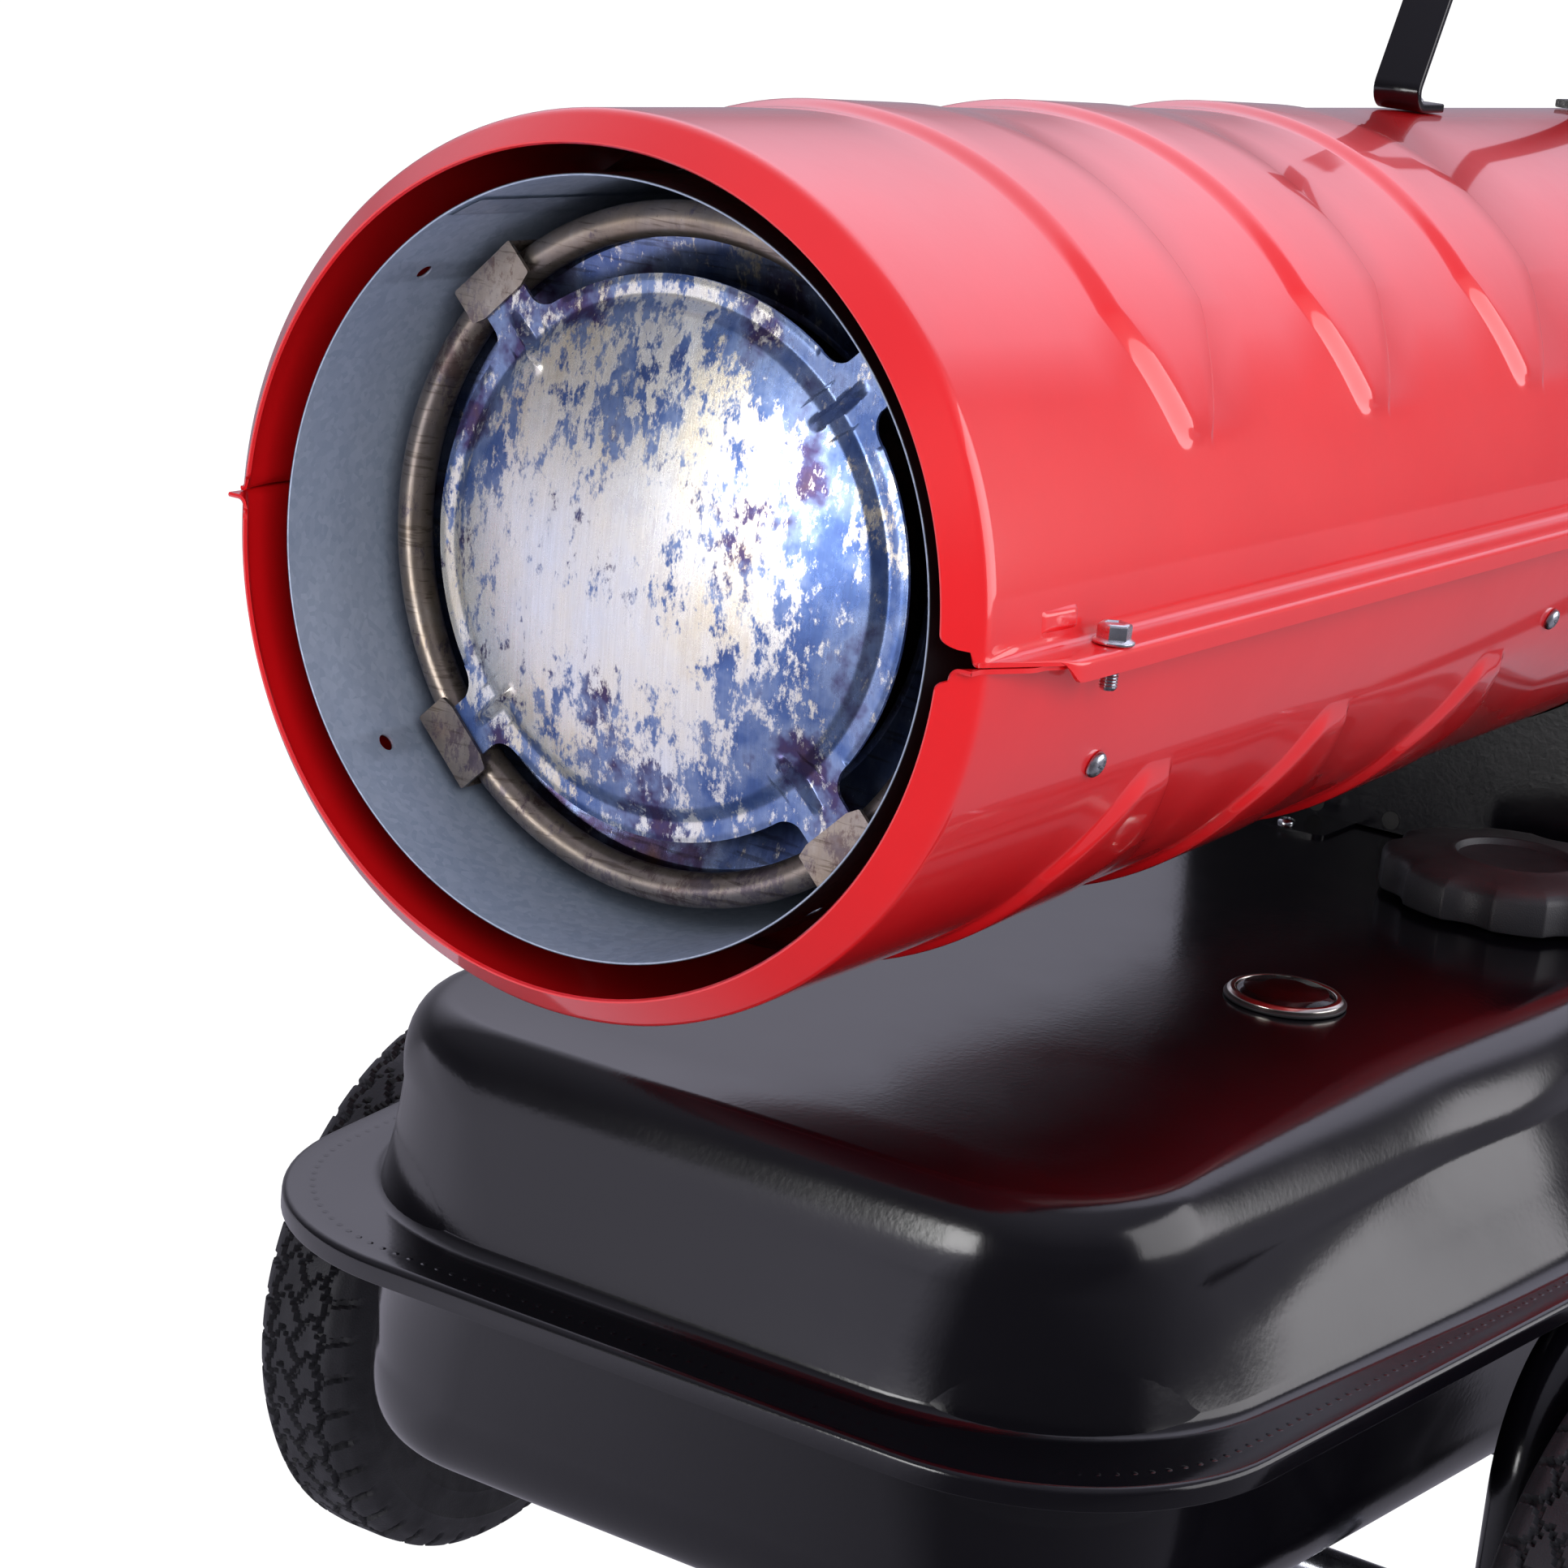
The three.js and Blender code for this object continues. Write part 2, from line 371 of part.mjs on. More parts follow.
// ---------------------------------------------------------------- fasteners
function hexBolt(x, y) {
  const z0 = FLANGE_T + GAP / 2 + GAP;
  return rodZ(6.7, z0, z0 + 1.4, x, y, 18).add(rodZ(5.77, z0 + 1.2, z0 + 6.2, x, y, 6)).add(rodZ(3, -13, z0 + 1, x, y, 12));
}
add('seam_bolt_near_front', hexBolt(SEAM_BOLT_X[0], -SEAM_BOLT_Y), ZINC());
add('seam_bolt_near_rear', hexBolt(SEAM_BOLT_X[1], -SEAM_BOLT_Y), ZINC());
add('seam_bolt_far_front', hexBolt(SEAM_BOLT_X[0], SEAM_BOLT_Y), ZINC());
add('seam_bolt_far_rear', hexBolt(SEAM_BOLT_X[1], SEAM_BOLT_Y), ZINC());
function panScrew(x, a) {
  const g = new THREE.LatheGeometry([[0, 0], [4.6, 0], [4.6, 1.0], [3.6, 2.4], [1.8, 3.1], [0, 3.3]].map(([r, z]) => new THREE.Vector2(r, z)), 16)
    .rotateX(Math.PI / 2).translate(0, 0, BARREL_R + GAP);
  const headS = solid(g.rotateX(a * D).translate(x, 0, 0));
  return headS.add(rodR(1.7, 136, BARREL_R + GAP + 1, x, a, 10));
}
add('shell_screw_front', panScrew(HOOP_X[0], SCREW_ANGLE), ZINC());
add('shell_screw_rear', panScrew(HOOP_X[1], SCREW_ANGLE), ZINC());

// ---------------------------------------------------------------- support and control box
const BZ0 = TANK_TOP + GAP;          // box floor sits on the tank
const cradle = turnX([[0, BOX_X0 - 20], [BARREL_R + GAP, BOX_X0 - 20], [BARREL_R + GAP, BOX_X1 + 20], [0, BOX_X1 + 20]], 40, false);
let sbox = box(BOX_X0, BOX_X1, -BOX_Y, BOX_Y, BZ0, BZ0 + 1.5)
  .add(box(BOX_X0, BOX_X0 + 1.5, -BOX_Y, BOX_Y, BZ0, -104))
  .add(box(BOX_X1 - 1.5, BOX_X1, -BOX_Y, BOX_Y, BZ0, -104))
  .add(box(BOX_X0, BOX_X0 + 12, -BOX_Y, -BOX_Y + 1.5, BZ0, -110)).add(box(BOX_X0, BOX_X0 + 12, BOX_Y - 1.5, BOX_Y, BZ0, -110))
  .add(box(BOX_X1 - 12, BOX_X1, -BOX_Y, -BOX_Y + 1.5, BZ0, -110)).add(box(BOX_X1 - 12, BOX_X1, BOX_Y - 1.5, BOX_Y, BZ0, -110))
  .add(box(BOX_X0 - 38, BOX_X0 + 1, 14, BOX_Y - 40, BZ0, BZ0 + 1.5));
sbox = sbox.subtract(cradle);
for (const y of [-4, 36]) sbox = sbox.subtract(rodX(4.5, BOX_X0 - 5, BOX_X0 + 5, y, BZ0 + 7.2, 16));
sbox = sbox.subtract(rodZ(2.6, BZ0 - 5, BZ0 + 5, BOX_X0 - 29, 37, 12));
sbox = sbox.subtract(rodZ(7, BZ0 - 3, BZ0 + 4, 740, -40, 16));
add('support_box', sbox, BLACK());

function sideCover(s) {
  const y0 = BOX_Y + GAP, y1 = y0 + 1.5;
  const yy = s > 0 ? [y0, y1] : [-y1, -y0];
  let c = box(BOX_X0 + 1, BOX_X1 - 1, ...yy, BZ0 + 1, -98);
  c = c.subtract(cradle);
  return c;
}
const PANEL_X0 = 742, PANEL_X1 = 868, PANEL_Z0 = BZ0 + 8, PANEL_Z1 = -122;
const INLET_X = 857;
const KNOB_X = 836, SWITCH_X = 768, CTRL_Z = -158;
let coverNear = sideCover(-1);
coverNear = coverNear.subtract(box(PANEL_X0 + 8, PANEL_X1 - 8, -BOX_Y - 5, -BOX_Y + 5, PANEL_Z0 + 8, PANEL_Z1 - 8));
add('box_cover_near', coverNear, BLACK());
let coverFar = sideCover(1);
for (let k = 0; k < 4; k++) coverFar = coverFar.subtract(box(720 + k * 26, 734 + k * 26, BOX_Y - 5, BOX_Y + 5, -186, -150));
coverFar = coverFar.subtract(rodY(9.5, BOX_Y - 5, BOX_Y + 8, INLET_X, -170, 20));
add('box_cover_far', coverFar, BLACK());

const PY = -(BOX_Y + GAP + 1.5 + GAP);
let panel = box(PANEL_X0, PANEL_X1, PY - 3, PY, PANEL_Z0, PANEL_Z1);
panel = panel.subtract(rodY(4.3, PY - 6, PY + 4, KNOB_X, CTRL_Z, 16));
panel = panel.subtract(box(SWITCH_X - 10.4, SWITCH_X + 10.4, PY - 6, PY + 4, CTRL_Z - 14.4, CTRL_Z + 14.4));
panel = panel.subtract(box(785, 813, PY - 6, PY - 1.4, CTRL_Z - 9, CTRL_Z + 9));
add('control_panel', panel, PLASTIC());
add('display_window', box(785.3, 812.7, PY - 3.4, PY - 1.4 - GAP, CTRL_Z - 8.7, CTRL_Z + 8.7), paint(0x2a1012, 0.15, 0));
// thermostat knob: skirt, grip and a pin that turns in the panel
let knob = turnY([[0, PY - 22], [13, PY - 22], [15, PY - 20], [16.5, PY - 8], [19, PY - 7], [19, PY - 3 - GAP], [4, PY - 3 - GAP], [4, PY + 8], [0, PY + 8]], KNOB_X, CTRL_Z, 20, false);
for (let k = 0; k < 8; k++) knob = knob.subtract(rodY(2.4, PY - 24, PY - 9, KNOB_X + 17.2 * Math.cos(k * 45 * D + 0.39), CTRL_Z + 17.2 * Math.sin(k * 45 * D + 0.39), 6));
knob = knob.subtract(box(KNOB_X - 0.8, KNOB_X + 0.8, PY - 23, PY - 21, CTRL_Z + 5, CTRL_Z + 14));
add('thermostat_knob', knob, PLASTIC());
// rocker switch: a shallow V on a pin, stored pressed to its off side
const SWITCH_TILT = 8;
{
  const s = new THREE.Shape();
  s.moveTo(-13.2, -3.4); s.lineTo(0, -1.2); s.lineTo(13.2, -3.4); s.lineTo(12.4, 3.5); s.lineTo(0, 6); s.lineTo(-12.4, 3.5); s.lineTo(-13.2, -3.4);
  // drawn as (z, y) and pushed out along X
  const g = new THREE.ExtrudeGeometry(s, { depth: 19.2, bevelEnabled: false, steps: 1 });
  const m = new THREE.Matrix4().makeBasis(V(0, 0, 1), V(0, 1, 0), V(1, 0, 0));
  g.applyMatrix4(m).translate(-(-9.6) - 19.2, 0, 0).rotateX(SWITCH_TILT * D).translate(SWITCH_X, PY - 1.2, CTRL_Z);
  add('power_switch', solid(g), paint(0xb01818, 0.35, 0));
}
add('power_inlet', turnY([[4.5, BOX_Y - 6], [9, BOX_Y - 6], [9, BOX_Y + GAP + 1.5 + GAP], [13, BOX_Y + GAP + 1.5 + GAP], [13, BOX_Y + 8], [10, BOX_Y + 10], [8, BOX_Y + 22], [4.5, BOX_Y + 22]], INLET_X, -170, 20), PLASTIC());
add('ignition_transformer', box(776, 838, 34, 88, BZ0 + 1.5 + GAP, BZ0 + 34).subtract(rodX(3, 830, 840, 48, BZ0 + 24, 10)).subtract(rodX(3, 830, 840, 74, BZ0 + 24, 10)), paint(0x24262b, 0.5, 0.1));
add('control_board', box(750, 862, -92, -90, BZ0 + 8, -132).add(box(756, 784, -90.5, -72, BZ0 + 14, BZ0 + 32)).add(box(800, 816, -90.5, -76, BZ0 + 14, BZ0 + 30)), paint(0x1f5a33, 0.5, 0));

// air line from the pump, down into the box, forward, and up to the nozzle
const PZ = BZ0 + 16;
const pumpMouth = V(PUMP_X0 + 10, 0, -48 - GAP);
add('air_line', pipe([pumpMouth, V(PUMP_X0 + 10, 0, -90), V(AIR_X - 4, 24, -120), V(AIR_X - 4, 24, PZ), V(RISE_X - 2, 16, PZ), V(RISE_X - 2, 16, -20), V(RISE_X - 40, 16, -8), V(NOZ_X + 60 + GAP, 4.5, 0)], [14, 14, 14, 14, 14, 14], 3, 1.8, 6, 2), paint(0x2a2a2d, 0.6, 0));
add('fuel_line', pipe([V(740, -40, TANK_TOP - 60), V(740, -40, PZ + 14), V(RISE_X - 2, -16, PZ + 14), V(RISE_X - 2, -16, -20), V(RISE_X - 40, -16, -8), V(NOZ_X + 60 + GAP, -4.5, 0)], [14, 14, 14, 14], 3, 1.8, 6, 2), BRASS());

// ---------------------------------------------------------------- fuel tank
// A plan outline is four stations per side: [x, half width]. The front and rear corners are round.
const RIM = [[TANK_X0, TANK_HALF_FRONT], [351, 228.4], [TANK_TAPER_X, TANK_HALF], [TANK_X1, TANK_HALF]];
const FOOT = [[95, 182], [351, 209.4], [TANK_TAPER_X, 218], [810, 218]];
const SIDE = [[106, 158], [351, 176], [TANK_TAPER_X, 186], [798, 188]];
const ROOF = [[124, 140], [351, 141], [560, 162], [781, 162]];
const between = (a, b, t) => a.map((p, i) => [p[0] + (b[i][0] - p[0]) * t, p[1] + (b[i][1] - p[1]) * t]);
function outline(plan, round, inset = 0, arc = 4) {
  const C = [...plan.map(([x, h], i) => [x, h, i % 3 ? 0 : round]), ...[...plan].reverse().map(([x, h], i) => [x, -h, i % 3 ? 0 : round])];
  const n = C.length;
  const E = C.map((p, i) => {
    const q = C[(i + 1) % n], dx = q[0] - p[0], dy = q[1] - p[1], l = Math.hypot(dx, dy);
    const nx = dy / l, ny = -dx / l;   // inward for this winding
    return [p[0] + nx * inset, p[1] + ny * inset, dx / l, dy / l, nx, ny];
  });
  const Q = C.map((p, i) => {
    const a = E[(i + n - 1) % n], b = E[i];
    const det = a[2] * b[3] - a[3] * b[2];
    if (Math.abs(det) < 0.02) return [p[0] + (a[4] + b[4]) / 2 * inset, p[1] + (a[5] + b[5]) / 2 * inset];
    const t = ((b[0] - a[0]) * b[3] - (b[1] - a[1]) * b[2]) / det;
    return [a[0] + a[2] * t, a[1] + a[3] * t];
  });
  const out = [];
  for (let i = 0; i < n; i++) {
    const p = Q[i], a = Q[(i + n - 1) % n], b = Q[(i + 1) % n];
    if (!C[i][2]) { out.push(p); continue; }
    const u = [a[0] - p[0], a[1] - p[1]], v = [b[0] - p[0], b[1] - p[1]];
    const lu = Math.hypot(...u), lv = Math.hypot(...v);
    const c = (u[0] * v[0] + u[1] * v[1]) / lu / lv, ang = Math.acos(c);
    const r = Math.max(C[i][2] - inset, 8);
    const cut = r / Math.tan(ang / 2);
    const s = [p[0] + u[0] / lu * cut, p[1] + u[1] / lu * cut];
    const e = [p[0] + v[0] / lv * cut, p[1] + v[1] / lv * cut];
    const h = Math.hypot(r, cut);
    const bis = [u[0] / lu + v[0] / lv, u[1] / lu + v[1] / lv], lb = Math.hypot(...bis);
    const cx = p[0] + bis[0] / lb * h, cy = p[1] + bis[1] / lb * h;
    const a0 = Math.atan2(s[1] - cy, s[0] - cx);
    let a1 = Math.atan2(e[1] - cy, e[0] - cx);
    while (a1 - a0 > Math.PI) a1 -= 2 * Math.PI;
    while (a1 - a0 < -Math.PI) a1 += 2 * Math.PI;
    for (let k = 0; k <= arc; k++) out.push([cx + r * Math.cos(a0 + (a1 - a0) * k / arc), cy + r * Math.sin(a0 + (a1 - a0) * k / arc)]);
  }
  return out;
}
// closed skin through a list of [plan, corner radius, inset, z] rows; the first and last rows are capped flat
function loft(rows, closed) {
  const pos = [], idx = [];
  const loops = rows.map(([plan, round, d, z]) => outline(plan, round, d).map(([x, y]) => [x, y, z]));
  const n = loops[0].length;
  loops.forEach((l) => l.forEach((p) => pos.push(...p)));
  const R = closed ? rows.length : rows.length - 1;
  for (let i = 0; i < R; i++) {
    const a = i * n, b = ((i + 1) % rows.length) * n;
    for (let k = 0; k < n; k++) {
      const k1 = (k + 1) % n;
      idx.push(a + k, a + k1, b + k1, a + k, b + k1, b + k);
    }
  }
  if (!closed) {
    for (const [which, same] of [[0, false], [rows.length - 1, true]]) {
      const pts = loops[which].map((p) => new THREE.Vector2(p[0], p[1]));
      const cw = THREE.ShapeUtils.isClockWise(pts);
      for (const f of THREE.ShapeUtils.triangulateShape(pts, [])) {
        const turn = THREE.ShapeUtils.isClockWise(f.map((q) => pts[q]));
        const t = f.map((q) => which * n + q);
        idx.push(...((turn === cw) === same ? t : [t[0], t[2], t[1]]));
      }
    }
  }
  const g = new THREE.BufferGeometry();
  g.setAttribute('position', new THREE.BufferAttribute(new Float32Array(pos), 3));
  g.setIndex(idx);
  return solid(g);
}
const T = 1.5;
const up = TANK_Z, tt = TANK_TOP;
// upper half: outside skin from the turned-down rim to the roof, then back down inside
const RC = 98, FC = 80, SC = 62, TC = 46;
let tankUp = loft([
  [RIM, RC, 0.9, up - 7], [RIM, RC, 0, up - 1], [RIM, RC, 1.6, up + T], [FOOT, FC, 0, up + T], [between(FOOT, SIDE, 0.08), FC, 0, up + 5],
  [SIDE, SC, 0, tt - 36], [between(ROOF, SIDE, 0.82), 56, 0, tt - 16], [between(ROOF, SIDE, 0.45), 50, 0, tt - 4.2], [ROOF, TC, 0, tt]], false)
  .subtract(loft([
    [RIM, RC, 2.4, up - 8], [RIM, RC, 1.7, up + GAP / 2], [FOOT, FC, 1.6, up + GAP / 2], [between(FOOT, SIDE, 0.08), FC, 1.6, up + 5],
    [SIDE, SC, 1.6, tt - 36.6], [between(ROOF, SIDE, 0.82), 56, 1.8, tt - 17], [between(ROOF, SIDE, 0.45), 50, 1.4, tt - 5.6], [ROOF, TC, 0, tt - T]], false));
tankUp = tankUp.subtract(rodZ(21, tt - 6, tt + 6, CAP_X, CAP_Y, 20)).subtract(rodZ(22.6, tt - 6, tt + 6, GAUGE_X, GAUGE_Y, 20)).subtract(rodZ(4.2, tt - 6, tt + 6, 740, -40, 12));
for (const [x, y] of [[420, 228], [420, -228], [724, 228], [724, -228]]) tankUp = tankUp.subtract(rodZ(3.4, up - 2, up + 4, x, y, 12));
add('tank_upper', tankUp, BLACK());
const tb = TANK_BOT;
const FLOOR = [[128, 146], [351, 170], [TANK_TAPER_X, 179], [777, 179]];
let tankLo = loft([
  [RIM, RC, 3.2, up - GAP / 2], [RIM, RC, 3.2, up - T], [FOOT, FC, 0, up - T], [between(FOOT, FLOOR, 0.09), FC, 0, up - 6],
  [between(FOOT, FLOOR, 0.3), 70, 0, tb + 30], [between(FOOT, FLOOR, 0.46), 62, 0, tb + 13], [between(FOOT, FLOOR, 0.7), 54, 0, tb + 3.5], [FLOOR, 46, 0, tb]], false)
  .subtract(loft([
    [FOOT, FC, 1.6, up + 1], [between(FOOT, FLOOR, 0.09), FC, 1.6, up - 6], [between(FOOT, FLOOR, 0.3), 70, 1.6, tb + 30.5],
    [between(FOOT, FLOOR, 0.46), 62, 1.6, tb + 14], [FLOOR, 46, 0, tb + T]], false));
tankLo = tankLo.subtract(rodZ(8.3, tb - 5, tb + 5, 260, 0, 16));
for (const [x, y] of [[420, 228], [420, -228], [724, 228], [724, -228]]) tankLo = tankLo.subtract(rodZ(3.4, up - 4, up + 4, x, y, 12));
add('tank_lower', tankLo, BLACK());

// filler neck, gasket and cap
const NT = tt + 14;
add('filler_neck', turnZ([[17, -30], [20.7, -30], [20.7, 0.3], [27, 0.3], [27, 1.8], [22, 1.8], [22, 14], [17, 14]], CAP_X, CAP_Y, tt, 20), ZINC());
add('cap_gasket', turnZ([[10, 14.3], [24, 14.3], [24, 16.3], [10, 16.3]], CAP_X, CAP_Y, tt, 16), RUBBER());
let cap = turnZ([[0, 16.6], [24.5, 16.6], [24.5, 4.5], [29.5, 4.5], [40, 2.5], [CAP_R - 1.5, 2.5], [CAP_R, 4.5], [CAP_R, 18.5], [CAP_R - 4, 22], [28, 24.5], [26, 21], [0, 21]], CAP_X, CAP_Y, tt, 24, false);
for (let k = 0; k < 8; k++) {
  const a = (k * 45 + 3.2) * D;
  cap = cap.subtract(rodZ(15, tt + 1, tt + 32, CAP_X + (CAP_R + 10.5) * Math.cos(a), CAP_Y + (CAP_R + 10.5) * Math.sin(a), 10));
}
add('filler_cap', cap, PLASTIC());

// float gauge: housing in the roof, glass, pointer disc, and the float on its guide
let housing = turnZ([[17, -10], [22.2, -10], [22.2, GAP], [24.5, GAP], [24.5, 1.6], [21.6, 1.6], [21.6, -2.4], [17, -2.4]], GAUGE_X, GAUGE_Y, tt, 20);
housing = housing.add(box(GAUGE_X - 18, GAUGE_X + 18, GAUGE_Y - 2.5, GAUGE_Y + 2.5, tt - 10, tt - 8));
housing = housing.add(rodZ(4, tt - 150, tt - 9, GAUGE_X + 9, GAUGE_Y, 10)).add(rodZ(7, tt - 152, tt - 149, GAUGE_X + 9, GAUGE_Y, 10)).subtract(rodZ(1.7, tt - 14, tt, GAUGE_X, GAUGE_Y, 12));
add('gauge_housing', housing, PLASTIC());
add('gauge_glass', turnZ([[0, -1.6], [21.3, -1.6], [21.3, 3.6], [19.5, 4.6], [0, 5.4]], GAUGE_X, GAUGE_Y, tt, 20, false), paint(0xd8dcd8, 0.05, 0));
let pointer = turnZ([[0, -5.6], [1.4, -5.6], [1.4, -12], [0, -12]], GAUGE_X, GAUGE_Y, tt, 10, false).add(turnZ([[0, -6.6], [16, -6.6], [16, -5.4], [0, -5.4]], GAUGE_X, GAUGE_Y, tt, 24, false));
pointer = pointer.add(box(GAUGE_X - 1, GAUGE_X + 1, GAUGE_Y, GAUGE_Y + 14, tt - 5.6, tt - 4.6));
add('gauge_pointer', pointer, paint(0x7a1512, 0.5, 0));
add('fuel_float', turnZ([[4.4, -12], [17, -12], [20, -9], [20, 9], [17, 12], [4.4, 12]], GAUGE_X + 9, GAUGE_Y, tt - 136, 20), paint(0x202022, 0.6, 0));
add('drain_plug', rodZ(8, tb - 1, tb + 8, 260, 0, 14).add(rodZ(12, tb - 3.3, tb - GAP, 260, 0, 20)).add(rodZ(8.6, tb - 8, tb - 3, 260, 0, 6)), ZINC());

// ---------------------------------------------------------------- frame, axle, wheels
const rail = (end) => [
  V(WHEEL_X, -TUBE_Y, WHEEL_Z - end), V(WHEEL_X, -TUBE_Y, RAIL_Z), V(884, -TUBE_Y, RAIL_Z), V(968, -TUBE_Y, -18),
  V(968, TUBE_Y, -18), V(884, TUBE_Y, RAIL_Z), V(WHEEL_X, TUBE_Y, RAIL_Z), V(WHEEL_X, TUBE_Y, WHEEL_Z - end)];
const BENDS = [52, 70, 58, 58, 70, 52];
let frame = pipe(rail(22), BENDS, TUBE_R, 0, 8, 3).subtract(pipe(rail(24), BENDS, TUBE_R - TUBE_T - 0.9, 0, 4, 3));
frame = frame.subtract(rodY(AXLE_R + 0.3, -400, 400, WHEEL_X, WHEEL_Z, 16));
for (const x of [420, 724]) for (const s of [-1, 1]) {
  const y0 = s * 228;
  // welded lug that takes the rim bolt
  frame = frame.add(box(x - 9, x + 9, s > 0 ? 219.5 : -232, s > 0 ? 232 : -219.5, RAIL_Z + TUBE_R - 1.4, up - T - GAP - 0.4)
    .subtract(rodZ(3.4, RAIL_Z + TUBE_R - 0.2, up, x, y0, 12)));
}
add('frame_tube', frame, BLACK());
add('handle_grip', rodY(17, -92, 92, 968, -18, 20).subtract(rodY(TUBE_R + GAP, -100, 100, 968, -18, 24)), RUBBER());

add('axle', rodY(AXLE_R, -309, 309, WHEEL_X, WHEEL_Z, 20), ZINC());
for (const s of [-1, 1]) {
  const side = s < 0 ? 'near' : 'far';
  const yy = (a) => s * a;
  const order = (p) => p.map(([r, y]) => [r, yy(y)]);
  const mid = (WHEEL_Y0 + WHEEL_Y1) / 2;
  // tyre: bead seat, sidewalls, rounded shoulders, flat crown
  add(`tyre_${side}`, turnY(order([
    [RIM_R + GAP, mid - 21], [94, mid - 27], [116, mid - 25], [TYRE_R, mid - 12],
    [TYRE_R, mid + 12], [116, mid + 25], [94, mid + 27], [RIM_R + GAP, mid + 21]]), WHEEL_X, WHEEL_Z, 36), RUBBER());
  // pressed rim with a dished web and a long hub
  add(`wheel_rim_${side}`, turnY(order([
    [AXLE_R + 0.4, mid - 25], [17, mid - 25], [19, mid + 2], [58, mid + 2], [RIM_R, mid - 20.5],
    [RIM_R, mid + 20.5], [58, mid + 6], [19, mid + 6], [17, mid + 25], [AXLE_R + 0.4, mid + 25]]), WHEEL_X, WHEEL_Z, 24), SATIN());
  add(`hub_cap_${side}`, turnY(order([[0, 315], [10, 314], [14, 310], [14.5, mid + 25.6], [AXLE_R + 0.3, mid + 25.6], [AXLE_R + 0.3, 309.3], [0, 309.3]]), WHEEL_X, WHEEL_Z, 20, false), SATIN());
}

// rear leg and its two flat rubber pads
const LEG_X = 778, LEG_R = 11, LEG_Z = -AXIS_H + 15;
add('rear_leg', pipe([V(LEG_X, -TUBE_Y, RAIL_Z - TUBE_R - GAP), V(LEG_X, -TUBE_Y, LEG_Z), V(LEG_X, TUBE_Y, LEG_Z), V(LEG_X, TUBE_Y, RAIL_Z - TUBE_R - GAP)], [45, 45], LEG_R, LEG_R - 2.2, 8, 3), BLACK());
for (const s of [-1, 1]) {
  const y0 = s * 130, a = Math.min(y0, y0 + s * 44), b = Math.max(y0, y0 + s * 44);
  add(`foot_pad_${s < 0 ? 'near' : 'far'}`, box(LEG_X - 17, LEG_X + 17, a, b, -AXIS_H, LEG_Z + 16).subtract(rodY(LEG_R + GAP, a - 5, b + 5, LEG_X, LEG_Z, 16)), RUBBER());
}

// ---------------------------------------------------------------- origin at the bottom centre
const bounds = new THREE.Box3().setFromObject(heater);
heater.position.set(-(bounds.min.x + bounds.max.x) / 2, -(bounds.min.y + bounds.max.y) / 2, -bounds.min.z);
heater.updateMatrixWorld(true);

export default heater;
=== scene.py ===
import bpy, bmesh, math, json
import numpy as np
from mathutils import Vector, Matrix, Quaternion

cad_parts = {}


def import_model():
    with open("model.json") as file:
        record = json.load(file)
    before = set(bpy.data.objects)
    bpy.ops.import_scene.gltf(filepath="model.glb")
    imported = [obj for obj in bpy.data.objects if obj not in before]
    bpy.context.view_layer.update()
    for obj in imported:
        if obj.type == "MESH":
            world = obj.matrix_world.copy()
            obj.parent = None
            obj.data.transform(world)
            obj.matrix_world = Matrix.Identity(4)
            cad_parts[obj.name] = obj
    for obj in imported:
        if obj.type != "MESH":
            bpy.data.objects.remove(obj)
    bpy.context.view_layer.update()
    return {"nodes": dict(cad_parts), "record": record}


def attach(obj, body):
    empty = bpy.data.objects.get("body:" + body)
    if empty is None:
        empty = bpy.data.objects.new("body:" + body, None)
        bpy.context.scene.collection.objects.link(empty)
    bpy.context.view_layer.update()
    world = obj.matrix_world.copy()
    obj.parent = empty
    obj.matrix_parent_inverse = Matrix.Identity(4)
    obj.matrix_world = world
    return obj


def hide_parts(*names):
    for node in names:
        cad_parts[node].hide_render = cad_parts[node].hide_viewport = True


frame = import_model()
scene = bpy.context.scene
rng = np.random.default_rng(7)
pi = math.pi

# Shapes are drawn in millimetres in the barrel frame: x from the outlet rim, z from the barrel axis.
SX, SZ = -492.5, 543.0


def world(p):
    p = np.asarray(p, float)
    return np.stack([(p[..., 0] + SX), p[..., 1], (p[..., 2] + SZ)], -1) * 0.001


# ------------------------------------------------------------------ mesh helpers
def grid_faces(nu, nv, cu=False, cv=False, base=0):
    iu = np.arange(nu if cu else nu - 1)
    iv = np.arange(nv if cv else nv - 1)
    a, b = np.meshgrid(iu, iv, indexing="ij")
    a1, b1 = (a + 1) % nu, (b + 1) % nv
    f = np.stack([a * nv + b, a * nv + b1, a1 * nv + b1, a1 * nv + b], -1).reshape(-1, 4)
    return (f + base).tolist()


class Shape:
    def __init__(self):
        self.v, self.f, self.n = [], [], 0

    def add(self, v, f):
        v = np.asarray(v, float).reshape(-1, 3)
        self.v.append(v)
        self.f.extend([[i + self.n for i in q] for q in f])
        self.n += len(v)
        return self

    def grid(self, P, cu=False, cv=False):
        P = np.asarray(P, float)
        return self.add(P.reshape(-1, 3), grid_faces(P.shape[0], P.shape[1], cu, cv))

    def verts(self):
        return np.concatenate(self.v)


